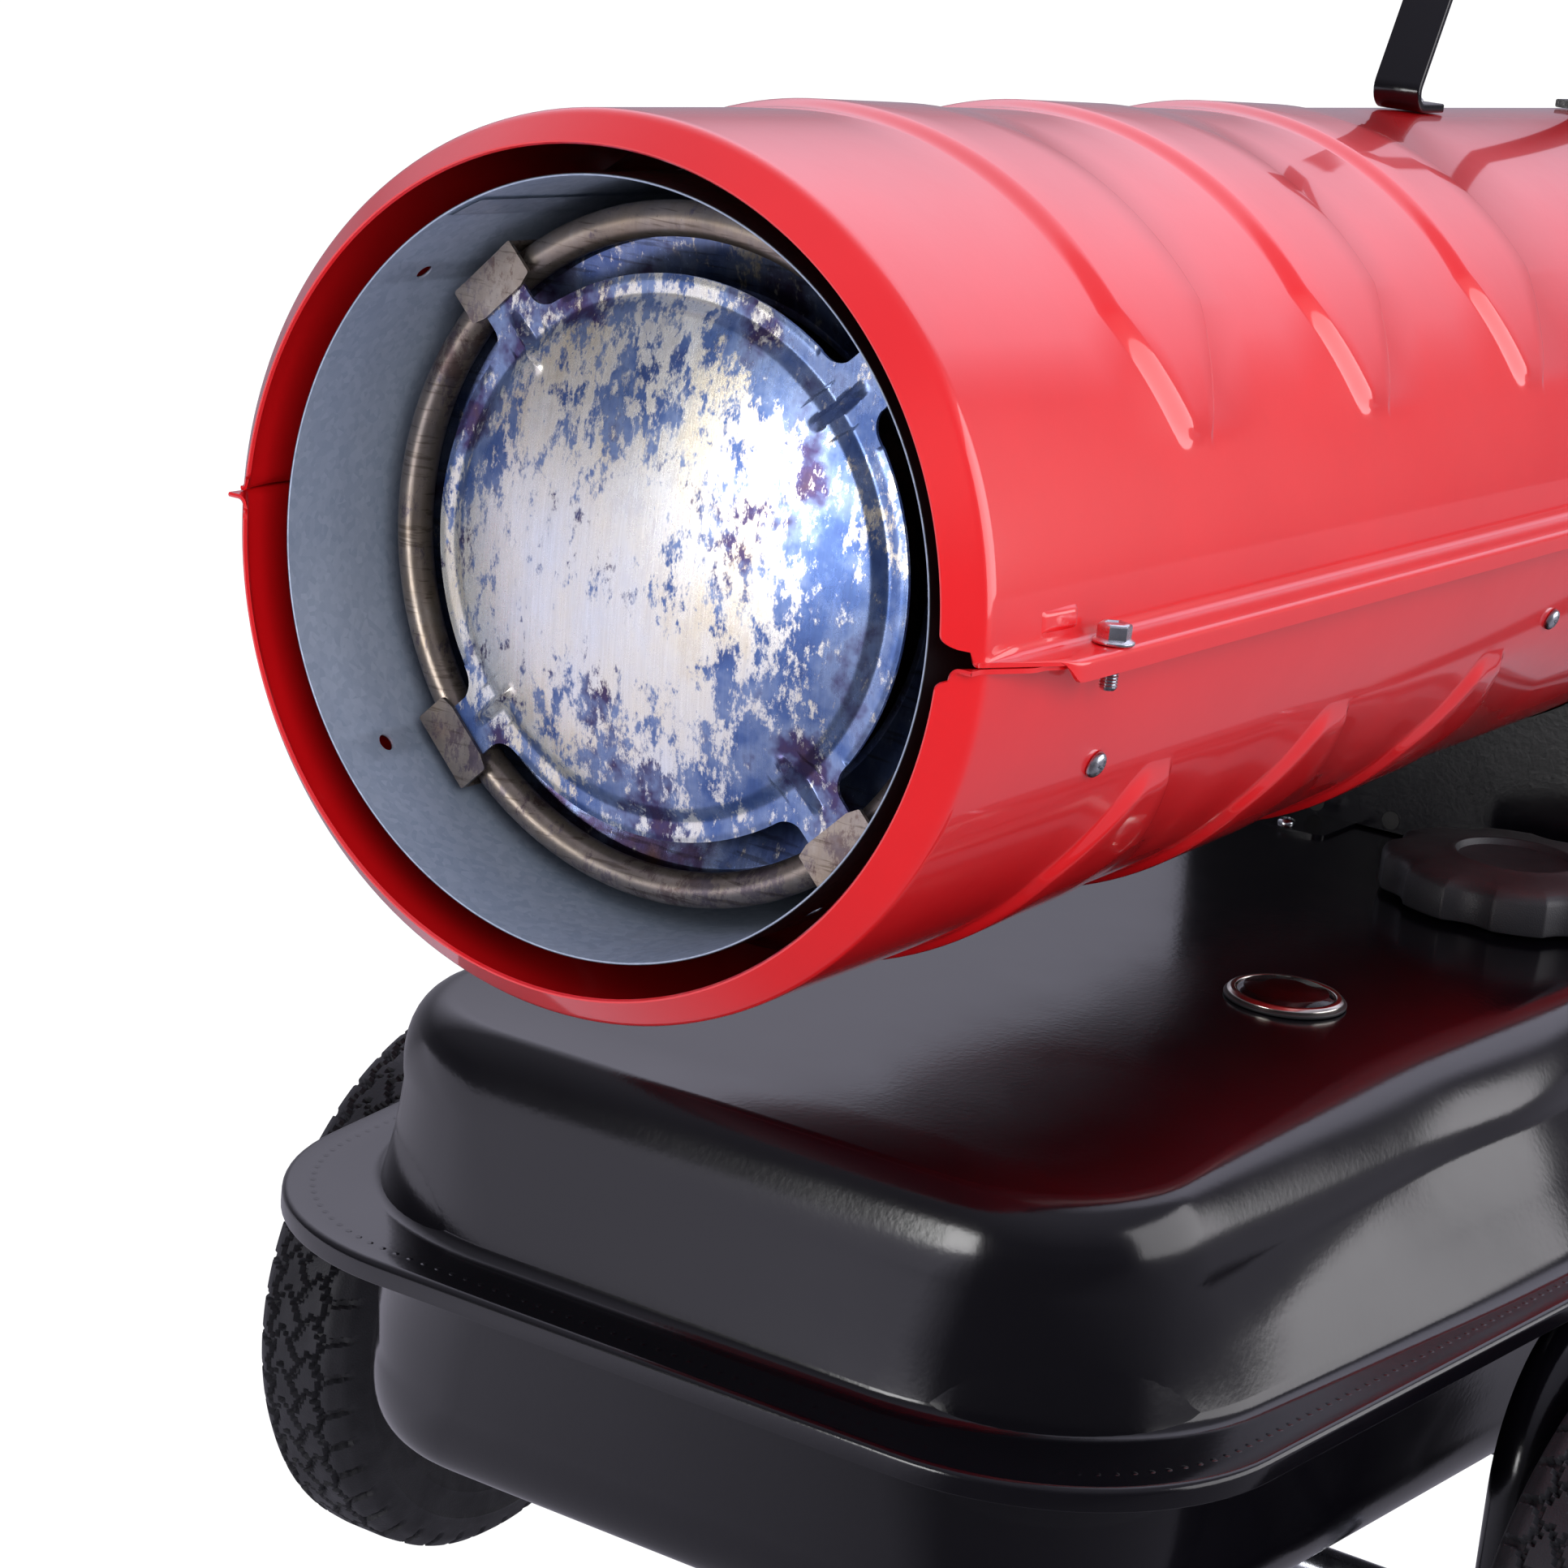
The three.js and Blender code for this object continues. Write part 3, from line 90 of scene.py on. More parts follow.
def put(name, shape, mat, body, stands=(), sharp=38, doubles=2e-6, bevel=0):
    me = bpy.data.meshes.new(name)
    me.from_pydata(world(shape.verts()).tolist(), [], shape.f)
    bm = bmesh.new()
    bm.from_mesh(me)
    if doubles:
        bmesh.ops.remove_doubles(bm, verts=bm.verts, dist=doubles)
    bmesh.ops.dissolve_degenerate(bm, dist=1e-7, edges=bm.edges)
    bmesh.ops.recalc_face_normals(bm, faces=bm.faces)
    if bevel:
        edges = [e for e in bm.edges if len(e.link_faces) == 2 and e.calc_face_angle(0) > math.radians(30)]
        bmesh.ops.bevel(bm, geom=edges, offset=bevel * 0.001, segments=2, profile=0.5, affect="EDGES", clamp_overlap=True)
    bm.to_mesh(me)
    bm.free()
    for p in me.polygons:
        p.use_smooth = True
    me.set_sharp_from_angle(angle=math.radians(sharp))
    me.materials.append(mat)
    ob = bpy.data.objects.new(name, me)
    scene.collection.objects.link(ob)
    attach(ob, body)
    if stands:
        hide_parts(*stands)
    return ob


def rounded(pts, r, n=4, closed=True):
    """Polyline with its corners rounded; r is one radius or one per corner."""
    P = [np.array(p, float) for p in pts]
    m = len(P)
    rr = [r] * m if np.isscalar(r) else list(r)
    out = []
    for i in range(m):
        if not closed and i in (0, m - 1):
            out.append(P[i])
            continue
        a, p, b = P[i - 1], P[i], P[(i + 1) % m]
        u, v = a - p, b - p
        lu, lv = np.linalg.norm(u), np.linalg.norm(v)
        if lu < 1e-9 or lv < 1e-9 or rr[i] <= 0:
            out.append(p)
            continue
        u, v = u / lu, v / lv
        c = float(np.clip(u @ v, -1, 1))
        ang = math.acos(c)
        if ang > pi - 0.02 or ang < 0.02:
            out.append(p)
            continue
        cut = min(rr[i] / math.tan(ang / 2), 0.48 * lu, 0.48 * lv)
        s, e = p + u * cut, p + v * cut
        q = cut * math.tan(ang / 2)
        bis = (u + v) / np.linalg.norm(u + v)
        cen = p + bis * math.hypot(q, cut)
        d0, d1 = s - cen, e - cen
        for k in range(n + 1):
            t = k / n
            w0 = math.sin((1 - t) * (pi - ang)) / math.sin(pi - ang)
            w1 = math.sin(t * (pi - ang)) / math.sin(pi - ang)
            out.append(cen + d0 * w0 + d1 * w1)
    return np.array(out)


def revolve(profile, axis="x", centre=(0, 0, 0), segs=96, closed=True, shape=None, a0=0.0):
    """profile rows are (radius, station along the axis)."""
    shape = shape or Shape()
    p = np.asarray(profile, float)
    t = np.linspace(0, 2 * pi, segs, endpoint=False) + a0
    r, s = p[:, 0][:, None], p[:, 1][:, None]
    c, q = np.cos(t)[None, :], np.sin(t)[None, :]
    o = np.ones_like(c)
    if axis == "x":
        P = np.stack([s * o, r * c, r * q], -1)
    elif axis == "y":
        P = np.stack([r * c, s * o, r * q], -1)
    else:
        P = np.stack([r * c, r * q, s * o], -1)
    return shape.grid(P + np.array(centre, float), cu=closed, cv=True)


def bent_path(points, radii, arc=10, step=None):
    P = [np.array(p, float) for p in points]
    out = [P[0]]
    for i in range(1, len(P) - 1):
        a = (P[i] - P[i - 1]) / np.linalg.norm(P[i] - P[i - 1])
        b = (P[i + 1] - P[i]) / np.linalg.norm(P[i + 1] - P[i])
        ang = math.acos(float(np.clip(a @ b, -1, 1)))
        r = radii[i - 1]
        cut = r * math.tan(ang / 2)
        s = P[i] - a * cut
        ax = np.cross(a, b); ax /= np.linalg.norm(ax)
        c = s + np.cross(ax, a) * r
        for k in range(arc + 1):
            q = Quaternion(Vector(ax), ang * k / arc)
            out.append(c + np.array(q @ Vector(s - c)))
    out.append(P[-1])
    return np.array(out)


def sweep(path, section, shape=None, up=(0, 0, 1), caps=True):
    """section rows are (side, up) offsets; the frame is carried along without twist."""
    shape = shape or Shape()
    path = np.asarray(path, float)
    sec = np.asarray(section, float)
    T = np.gradient(path, axis=0)
    T /= np.linalg.norm(T, axis=1)[:, None]
    u = np.array(up, float)
    rings = []
    for p, t in zip(path, T):
        u = u - t * (u @ t)
        u /= np.linalg.norm(u)
        s = np.cross(t, u)
        rings.append(p + sec[:, :1] * s + sec[:, 1:] * u)
    R = np.array(rings)
    n = len(sec)
    shape.grid(R, cv=True)
    if caps:
        for ring in (R[0], R[-1]):
            shape.add(ring, [list(range(n))])
    return shape


def circle(r, n=24):
    t = np.linspace(0, 2 * pi, n, endpoint=False)
    return np.stack([r * np.cos(t), r * np.sin(t)], -1)


def block(x0, x1, y0, y1, z0, z1, shape=None):
    shape = shape or Shape()
    v = [(x, y, z) for x in (x0, x1) for y in (y0, y1) for z in (z0, z1)]
    return shape.add(v, [(0, 1, 3, 2), (4, 6, 7, 5), (0, 4, 5, 1), (2, 3, 7, 6), (0, 2, 6, 4), (1, 5, 7, 3)])


def prism(outline, lo, hi, axis="z", shape=None):
    shape = shape or Shape()
    o = np.asarray(outline, float)
    n = len(o)

    def lift(h):
        k = np.full((n, 1), float(h))
        return {"z": np.hstack([o, k]), "y": np.hstack([o[:, :1], k, o[:, 1:]]), "x": np.hstack([k, o])}[axis]
    f = [[i, (i + 1) % n, n + (i + 1) % n, n + i] for i in range(n)] + [list(range(n)), list(range(n, 2 * n))[::-1]]
    return shape.add(np.vstack([lift(lo), lift(hi)]), f)


def smooth(t):
    t = np.clip(t, 0, 1)
    return t * t * (3 - 2 * t)


# ------------------------------------------------------------------ materials
def new_mat(name):
    m = bpy.data.materials.new(name)
    m.use_nodes = True
    nt = m.node_tree
    nt.nodes.clear()
    out = nt.nodes.new("ShaderNodeOutputMaterial")
    b = nt.nodes.new("ShaderNodeBsdfPrincipled")
    nt.links.new(b.outputs[0], out.inputs[0])
    tc = nt.nodes.new("ShaderNodeTexCoord")
    return m, nt, b, tc


def noise(nt, tc, scale, detail=3.0, rough=0.55, stretch=None, kind="noise"):
    src = tc.outputs["Object"]
    if stretch:
        mp = nt.nodes.new("ShaderNodeMapping")
        mp.inputs["Scale"].default_value = stretch
        nt.links.new(src, mp.inputs["Vector"])
        src = mp.outputs[0]
    if kind == "voronoi":
        n = nt.nodes.new("ShaderNodeTexVoronoi")
        n.inputs["Scale"].default_value = scale
        nt.links.new(src, n.inputs["Vector"])
        return n.outputs["Color"]
    n = nt.nodes.new("ShaderNodeTexNoise")
    n.inputs["Scale"].default_value = scale
    n.inputs["Detail"].default_value = detail
    n.inputs["Roughness"].default_value = rough
    nt.links.new(src, n.inputs["Vector"])
    return n.outputs["Fac"]


def remap(nt, src, lo, hi, a=0.3, b=0.7):
    n = nt.nodes.new("ShaderNodeMapRange")
    n.inputs["From Min"].default_value = a
    n.inputs["From Max"].default_value = b
    n.inputs["To Min"].default_value = lo
    n.inputs["To Max"].default_value = hi
    nt.links.new(src, n.inputs["Value"])
    return n.outputs["Result"]


def ramp(nt, src, stops):
    n = nt.nodes.new("ShaderNodeValToRGB")
    e = n.color_ramp.elements
    while len(e) < len(stops):
        e.new(0.5)
    for k, (p, c) in enumerate(stops):
        e[k].position = p
        e[k].color = (*c, 1)
    nt.links.new(src, n.inputs["Fac"])
    return n.outputs["Color"]


def mix(nt, fac, a, b):
    n = nt.nodes.new("ShaderNodeMix")
    n.data_type = "RGBA"
    nt.links.new(fac, n.inputs["Factor"]) if not np.isscalar(fac) else setattr(n.inputs["Factor"], "default_value", fac)
    for s, v in (("A", a), ("B", b)):
        sock = [i for i in n.inputs if i.name == s and i.type == "RGBA"][0]
        if isinstance(v, tuple):
            sock.default_value = (*v, 1)
        else:
            nt.links.new(v, sock)
    return [o for o in n.outputs if o.type == "RGBA"][0]


def bump(nt, b, src, strength, distance):
    n = nt.nodes.new("ShaderNodeBump")
    n.inputs["Strength"].default_value = strength
    n.inputs["Distance"].default_value = distance
    nt.links.new(src, n.inputs["Height"])
    nt.links.new(n.outputs[0], b.inputs["Normal"])
    return n


def paint(name, dark, light, rough=(0.2, 0.3), metal=0.0, coat=0.0, coat_rough=0.04, scale=14, grain=900, bump_s=0.06, bump_d=0.0004, spec=0.5, stretch=None):
    m, nt, b, tc = new_mat(name)
    big = noise(nt, tc, scale, 4, 0.6, stretch)
    fine = noise(nt, tc, grain, 2, 0.5, stretch)
    nt.links.new(ramp(nt, big, [(0.3, dark), (0.7, light)]), b.inputs["Base Color"])
    nt.links.new(remap(nt, noise(nt, tc, scale * 2.3, 4, 0.6), *rough), b.inputs["Roughness"])
    b.inputs["Metallic"].default_value = metal
    b.inputs["Specular IOR Level"].default_value = spec
    b.inputs["Coat Weight"].default_value = coat
    b.inputs["Coat Roughness"].default_value = coat_rough
    bump(nt, b, fine, bump_s, bump_d)
    return m


RED = paint("red_enamel", (0.66, 0.004, 0.007), (0.76, 0.007, 0.010), (0.30, 0.38), 0, 1.0, 0.055, 6, 260, 0.05, 0.0004)
BLACK = paint("black_enamel", (0.0013, 0.0011, 0.0020), (0.0030, 0.0026, 0.0044), (0.13, 0.19), 0, 0.0, 0.09, 7, 420, 0.08, 0.0004, 0.55)
SATIN = paint("satin_black_paint", (0.010, 0.010, 0.011), (0.018, 0.018, 0.020), (0.42, 0.55), 0, 0.0, 0.1, 12, 900, 0.12, 0.0003)
ZINC = paint("zinc_plate", (0.52, 0.54, 0.58), (0.80, 0.82, 0.85), (0.16, 0.34), 1.0, 0, 0, 60, 1400, 0.15, 0.0003)
CAST = paint("cast_aluminium", (0.20, 0.21, 0.23), (0.34, 0.35, 0.37), (0.40, 0.60), 0.9, 0, 0, 40, 800, 0.5, 0.0006)
FANM = paint("fan_sheet", (0.42, 0.44, 0.47), (0.62, 0.64, 0.67), (0.25, 0.42), 1.0, 0, 0, 25, 900, 0.1, 0.0003)
BRASS = paint("brass_metal", (0.36, 0.24, 0.08), (0.55, 0.38, 0.14), (0.22, 0.40), 1.0, 0, 0, 30, 900, 0.1, 0.0003)
RUBBER = paint("black_rubber", (0.010, 0.010, 0.011), (0.022, 0.022, 0.024), (0.55, 0.75), 0, 0, 0, 20, 1500, 0.3, 0.0004, 0.4)
TYRE = paint("tyre_rubber", (0.008, 0.008, 0.010), (0.020, 0.020, 0.024), (0.50, 0.72), 0, 0, 0, 25, 1100, 0.35, 0.0005, 0.45)
PLASTIC = paint("grained_plastic", (0.010, 0.010, 0.012), (0.020, 0.020, 0.023), (0.38, 0.50), 0, 0, 0, 18, 1800, 0.45, 0.0004)
REDPL = paint("red_moulding", (0.40, 0.010, 0.010), (0.50, 0.016, 0.014), (0.2, 0.3), 0, 0, 0, 40, 1500, 0.1, 0.0002)
WINDOW = paint("smoked_window", (0.02, 0.003, 0.004), (0.035, 0.005, 0.006), (0.05, 0.12), 0, 1, 0.02, 30, 700, 0.02, 0.0002)
MAROON = paint("maroon_disc", (0.50, 0.17, 0.19), (0.62, 0.24, 0.26), (0.35, 0.5), 0, 0, 0, 60, 1500, 0.1, 0.0002)
CERAM = paint("glazed_ceramic", (0.62, 0.58, 0.50), (0.74, 0.71, 0.64), (0.12, 0.3), 0, 0.5, 0.05, 60, 900, 0.05, 0.0002)
BOARD = paint("board_laminate", (0.010, 0.085, 0.030), (0.020, 0.13, 0.05), (0.3, 0.5), 0, 0, 0, 80, 1200, 0.2, 0.0003)
FOAM = paint("closed_foam", (0.015, 0.015, 0.015), (0.03, 0.03, 0.03), (0.7, 0.85), 0, 0, 0, 60, 2500, 0.6, 0.0005)
TRIM = paint("bezel_metal", (0.60, 0.56, 0.50), (0.78, 0.74, 0.68), (0.14, 0.26), 1.0, 0, 0, 50, 1200, 0.1, 0.0002)
GREYD = paint("printed_grey", (0.45, 0.45, 0.44), (0.60, 0.60, 0.58), (0.3, 0.45), 0, 0, 0, 50, 900, 0.05, 0.0002)


def make_galv():
    m, nt, b, tc = new_mat("galvanised_sheet")
    v = noise(nt, tc, 420, kind="voronoi")
    sep = nt.nodes.new("ShaderNodeSeparateColor")
    nt.links.new(v, sep.inputs[0])
    spang = ramp(nt, sep.outputs[0], [(0.0, (0.30, 0.37, 0.50)), (1.0, (0.46, 0.53, 0.66))])
    big = ramp(nt, noise(nt, tc, 9, 5, 0.6), [(0.3, (0.30, 0.37, 0.49)), (0.72, (0.46, 0.52, 0.63))])
    off = nt.nodes.new("ShaderNodeVectorMath"); off.operation = "MULTIPLY_ADD"
    off.inputs[1].default_value = (0, 1, 1)
    off.inputs[2].default_value = (0, 0, -0.543)
    nt.links.new(tc.outputs["Object"], off.inputs[0])
    ln = nt.nodes.new("ShaderNodeVectorMath"); ln.operation = "LENGTH"
    nt.links.new(off.outputs[0], ln.inputs[0])
    # painted shade: past a radius of 124.5 mm the liner's outer face turns near-black, standing in for the shadow in
    # the gap between liner and shell
    painted_shade = remap(nt, ln.outputs["Value"], 0.0, 1.0, 0.1244, 0.1248)
    nt.links.new(mix(nt, painted_shade, mix(nt, 0.5, spang, big), ramp(nt, noise(nt, tc, 30, 4), [(0.3, (0.012, 0.011, 0.013)), (0.7, (0.03, 0.028, 0.032))])), b.inputs["Base Color"])
    nt.links.new(remap(nt, sep.outputs[1], 0.42, 0.55, 0, 1), b.inputs["Roughness"])
    b.inputs["Metallic"].default_value = 0.55
    bump(nt, b, noise(nt, tc, 500, 3), 0.12, 0.0003)
    return m


def math_node(nt, op, a, b=None, clamp=False):
    n = nt.nodes.new("ShaderNodeMath")
    n.operation = op
    n.use_clamp = clamp
    for k, v in enumerate((a, b)):
        if v is None:
            continue
        if np.isscalar(v):
            n.inputs[k].default_value = v
        else:
            nt.links.new(v, n.inputs[k])
    return n.outputs[0]


def multiply(nt, a, b, fac=1.0):
    n = nt.nodes.new("ShaderNodeMix")
    n.data_type, n.blend_type = "RGBA", "MULTIPLY"
    n.inputs["Factor"].default_value = fac
    rg = [i for i in n.inputs if i.type == "RGBA"]
    nt.links.new(a, rg[0])
    nt.links.new(b, rg[1])
    return [o for o in n.outputs if o.type == "RGBA"][0]


def make_heat(name, inner=0.02, outer=0.10, lean=0.0, bronze=0.0, metal=0.75, rough=(0.22, 0.40)):
    """Stainless sheet, brushed upright: cream where it stayed cool, speckled blue and purple-brown
    where it was heated. The tint grows between the inner and outer distance from the barrel axis."""
    m, nt, b, tc = new_mat(name)
    off = nt.nodes.new("ShaderNodeVectorMath"); off.operation = "MULTIPLY_ADD"
    off.inputs[1].default_value = (0, 1, 1)
    off.inputs[2].default_value = (0, -0.012, -0.551)
    nt.links.new(tc.outputs["Object"], off.inputs[0])
    ln = nt.nodes.new("ShaderNodeVectorMath"); ln.operation = "LENGTH"
    nt.links.new(off.outputs[0], ln.inputs[0])
    radial = remap(nt, ln.outputs["Value"], 0.0, 1.0, inner, outer)
    cloud = noise(nt, tc, 13, 5, 0.62)
    fleck = noise(nt, tc, 190, 6, 0.78, (1.0, 1.0, 0.55))
    smear = noise(nt, tc, 46, 6, 0.74, (1.0, 1.0, 0.6))
    k = math_node(nt, "MULTIPLY_ADD", radial, 0.30)
    k.node.inputs[2].default_value = lean - 0.15
    k = math_node(nt, "ADD", k, math_node(nt, "MULTIPLY", math_node(nt, "SUBTRACT", cloud, 0.5), 1.15))
    k = math_node(nt, "ADD", k, math_node(nt, "MULTIPLY", math_node(nt, "SUBTRACT", smear, 0.5), 1.3))
    k = math_node(nt, "ADD", k, math_node(nt, "MULTIPLY", math_node(nt, "SUBTRACT", fleck, 0.5), 1.7))
    fac = remap(nt, k, 0.0, 1.0, -0.05, 0.10)
    cream = ramp(nt, noise(nt, tc, 30, 5, 0.66, (1, 1, 0.5)), [(0.28, (0.70, 0.60, 0.42)), (0.48, (0.80, 0.77, 0.70)), (0.72, (0.74, 0.77, 0.82))])
    tint = ramp(nt, noise(nt, tc, 24, 5, 0.62), [(0.30, (0.035, 0.065, 0.21)), (0.43, (0.08, 0.14, 0.34)), (0.52, (0.20, 0.27, 0.46)), (0.60, (0.06, 0.045, 0.13)), (0.72, (0.10, 0.05, 0.05))])
    col = mix(nt, fac, cream, tint)
    grain = noise(nt, tc, 42, 6, 0.75, (1.0, 30.0, 0.8))
    col = multiply(nt, col, ramp(nt, grain, [(0.32, (0.80, 0.79, 0.78)), (0.62, (1, 1, 1))]), 0.75)
    if bronze:
        brown = ramp(nt, noise(nt, tc, 55, 5, 0.7), [(0.3, (0.085, 0.050, 0.036)), (0.55, (0.19, 0.135, 0.10)), (0.75, (0.30, 0.25, 0.21))])
        col = mix(nt, bronze, col, brown)
        # fine crosswise crazing
        craze = noise(nt, tc, 120, 3, 0.6, (1.0, 0.35, 5.0))
        col = multiply(nt, col, ramp(nt, craze, [(0.36, (0.35, 0.30, 0.26)), (0.44, (1, 1, 1))]), 0.6)
    nt.links.new(col, b.inputs["Base Color"])
    nt.links.new(remap(nt, fleck, rough[0], rough[1], 0.3, 0.7), b.inputs["Roughness"])
    b.inputs["Metallic"].default_value = metal
    bump(nt, b, grain, 0.10, 0.0003)
    return m


def make_glass():
    m, nt, b, tc = new_mat("clear_lens")
    b.inputs["Transmission Weight"].default_value = 1.0
    b.inputs["IOR"].default_value = 1.47
    nt.links.new(ramp(nt, noise(nt, tc, 40, 2), [(0.3, (0.93, 0.95, 0.94)), (0.7, (0.98, 0.99, 0.98))]), b.inputs["Base Color"])
    nt.links.new(remap(nt, noise(nt, tc, 90, 3), 0.02, 0.07), b.inputs["Roughness"])
    bump(nt, b, noise(nt, tc, 700, 2), 0.02, 0.0002)
    return m


GALV = make_galv()
HEAT = make_heat("heated_steel", 0.030, 0.090, -0.01, 0.0, 0.74, (0.20, 0.36))
HEATD = make_heat("heated_steel_dark", 0.0, 0.08, 0.12, 0.12, 0.90, (0.16, 0.30))
BRONZE = make_heat("heated_rim", 0.0, 0.2, -0.12, 0.80, 0.85, (0.26, 0.42))
GLASS = make_glass()

SLOT_MAT = {
    "red_paint": RED, "black_paint": BLACK, "satin_black": SATIN, "zinc": ZINC, "galvanised": GALV, "heat_steel": HEATD,
    "cast_metal": CAST, "fan_aluminium": FANM, "brass": BRASS, "rubber": RUBBER, "tyre": TYRE, "black_plastic": PLASTIC,
    "red_plastic": REDPL, "dark_window": WINDOW, "clear_glass": GLASS, "maroon": MAROON, "ceramic": CERAM,
    "board_green": BOARD, "foam_black": FOAM,
}
slot_of = {s["node"]: s["material_slot"] for s in frame["record"]["subparts"]}
for node, ob in frame["nodes"].items():
    ob.data.materials.clear()
    ob.data.materials.append(SLOT_MAT[slot_of[node]])

# ------------------------------------------------------------------ barrel shells
R0, T, GAP = 145.0, 1.5, 0.3
BANDS = [(124, 189), (263, 329), (408, 476)]
L = 900.0


def taper(th):
    """0 where a band has its full width, 1 along its narrow tips; th is degrees from the top."""
    up = (th - 49) / 18.5
    dn = (130 - th) / 18.0
    return np.clip(np.minimum(up, dn), 0, 1)


def fade(th):
    a = 1 - smooth((th - 64.5) / 4.5)
    b = smooth((th - 111.5) / 4.5)
    return np.maximum(a, b)


def stations(th):
    """Stations along x for one angle, and the outward lift at each: they follow the slanting band edges."""
    s = taper(th)
    h = fade(th)
    xs, hs = [], []

    def row(x, lift):
        xs.append(x)
        hs.append(lift)
    for t in (0, 1.5, 3.5, 5.5, 7.2, 8.3, 9.0, 9.8, 10.6, 11.5, 12.6, 15, 18, 21, 24, 27, 30, 32, 34, 36, 38, 40, 42, 45, 50, 58):
        row(t, 0)
    last = 58.0
    for f0, r0 in BANDS:
        f, r = f0 + 20 * s, r0 - 27 * s
        a = f - 5.5
        for k in (0.33, 0.67):
            row(last + (a - last) * k, 0)
        for k in range(11):
            row(a + 11 * k / 10, 3.1 * h * smooth(k / 10))
        b = r - 1.8
        for k in (0.25, 0.5, 0.75):
            row(a + 11 + (b - a - 11) * k, (3.1 - 1.3 * k) * h)
        for k in range(7):
            row(b + 3.6 * k / 6, 1.8 * h * (1 - smooth(k / 6)))
        last = b + 3.6
    for k in range(1, 8):
        row(last + (L - last) * k / 7, 0)
    return np.array(xs), np.array(hs)


def wall_radius(x):
    # cone of the lip, then a small round into the straight wall
    return np.where(x < 8.6, 135 + 0.93 * x, 145 - 2.0 * np.clip(1 - (x - 8.6) / 4.0, 0, 1) ** 1.9)


def flange_edge(x):
    return np.minimum(143.8 + 0.54 * np.maximum(x - 9, 0), 160.5 - 0.6 * np.exp(-np.maximum(x - 39, 0) / 2.5) * (x > 39))


# how far the front corner is cut back at the seam, and the angle where the cut begins
CORNER = {True: (8.8, 86.0), False: (3.6, 86.9)}


def shell(upper):
    s = 1 if upper else -1
    rho = 3.0
    zt = T + GAP / 2
    dark = math.degrees(math.asin((zt + rho) / R0))
    th = np.concatenate([np.linspace(0, 44, 23)[:-1], np.linspace(44, 72, 29)[:-1], np.linspace(72, 85.6, 8)[:-1], np.linspace(85.6, 90 - dark, 9)]) if upper else \
        np.concatenate([np.linspace(0, 44, 20)[:-1], np.linspace(44, 72, 29)[:-1], np.linspace(72, 86.6, 8)[:-1], np.linspace(86.6, 90 - dark, 6)])
    angles = np.concatenate([-th[::-1][:-1], th])          # from the +Y side over the crest to the -Y side
    tops = np.abs(angles) if upper else 180 - np.abs(angles)
    cols_out, cols_in = [], []
    for a, tt in zip(angles, tops):
        xs, hs = stations(tt)
        # the front corner draws back near the seam
        e = np.clip((abs(a) - CORNER[upper][1]) / (88.2 - CORNER[upper][1]), 0, 1)
        back = CORNER[upper][0] * (1 - math.sqrt(1 - min(e, 0.999) ** 2))
        x = xs + back * np.clip(1 - xs / 14, 0, 1)
        r = wall_radius(x) + hs
        ra = math.radians(a)
        cols_out.append(np.stack([x, -r * math.sin(ra), s * r * math.cos(ra)], -1))
        tilt = np.gradient(r, x + 1e-6 * np.arange(len(x)))
        n = 1 / np.sqrt(1 + tilt ** 2)
        ri, xi = r - T * n, x + T * tilt * n
        cols_in.append(np.stack([xi, -ri * math.sin(ra), s * ri * math.cos(ra)], -1))
    xs, _ = stations(tops[-1])
    x = xs + 0.955 * CORNER[upper][0] * np.clip(1 - xs / 14, 0, 1)
    r = wall_radius(x)
    w = flange_edge(x)
    fold = smooth((x - 33.5) / 9.5)
    if not upper:
        w = w + 0.9 - 3.2 * smooth((x - 24) / 9)
    w = np.maximum(w, r + 0.4)
    k = np.clip((w - r - 0.3) / 8, 0.03, 1)

    def wing(side, off):
        """Columns from the wall fillet out to the flange's edge."""
        cols = []
        q = rho * k
        for j in range(1, 7):
            a = j / 6 * pi / 2
            rad = q + (T if off else 0)
            y = r + q - rad * math.cos(a)
            z = (zt + q) - rad * math.sin(a)
            z = np.where(k < 1, z, z)
            cols.append((y, z))
        yf = r + q
        e = 1.9 * k * (0.12 + 0.88 * fold)
        drop = 5.3 * k * fold
        lvl = zt - (T if off else 0)
        for j in (0.33, 0.67, 1.0):
            cols.append((yf + (w - e - yf) * j, lvl + 0 * w))
        if upper:
            for j in range(1, 5):
                a = j / 4 * pi / 2
                rad = np.maximum(e - (np.minimum(T, e * 0.9) if off else 0), 0.03)
                cols.append((w - e + rad * math.sin(a), zt - e + rad * math.cos(a)))
            inb = (np.minimum(T, e * 0.9) if off else 0)
            for j in (0.25, 0.6, 1.0):
                cols.append((w - inb, zt - e - 0.02 - drop * j))
        return [np.stack([x, -side * y, s * z], -1) for y, z in cols]

    def full(off):
        near, far = wing(1, off), wing(-1, off)
        mid = cols_in if off else cols_out
        return np.array(far[::-1] + list(mid) + near)
    A, B = full(False), full(True)
    sh = Shape()
    nu, nv = A.shape[:2]
    sh.grid(A)
    # the inside surface keeps every row, though away from the mouth every second row would do
    sh.grid(B)
    mouth = (A[:, 0] + B[:, 0]) / 2 - np.array([0.45, 0, 0])
    sh.grid(np.stack([A[:, 0], mouth, B[:, 0]], 1))
    sh.grid(np.stack([A[:, -1], B[:, -1]], 1))
    sh.grid(np.stack([A[0], B[0]], 0))
    sh.grid(np.stack([A[-1], B[-1]], 0))
    return sh


put("barrel_upper", shell(True), RED, "heater", ["upper_shell"], sharp=50)
put("barrel_lower", shell(False), RED, "heater", ["lower_shell"], sharp=50)

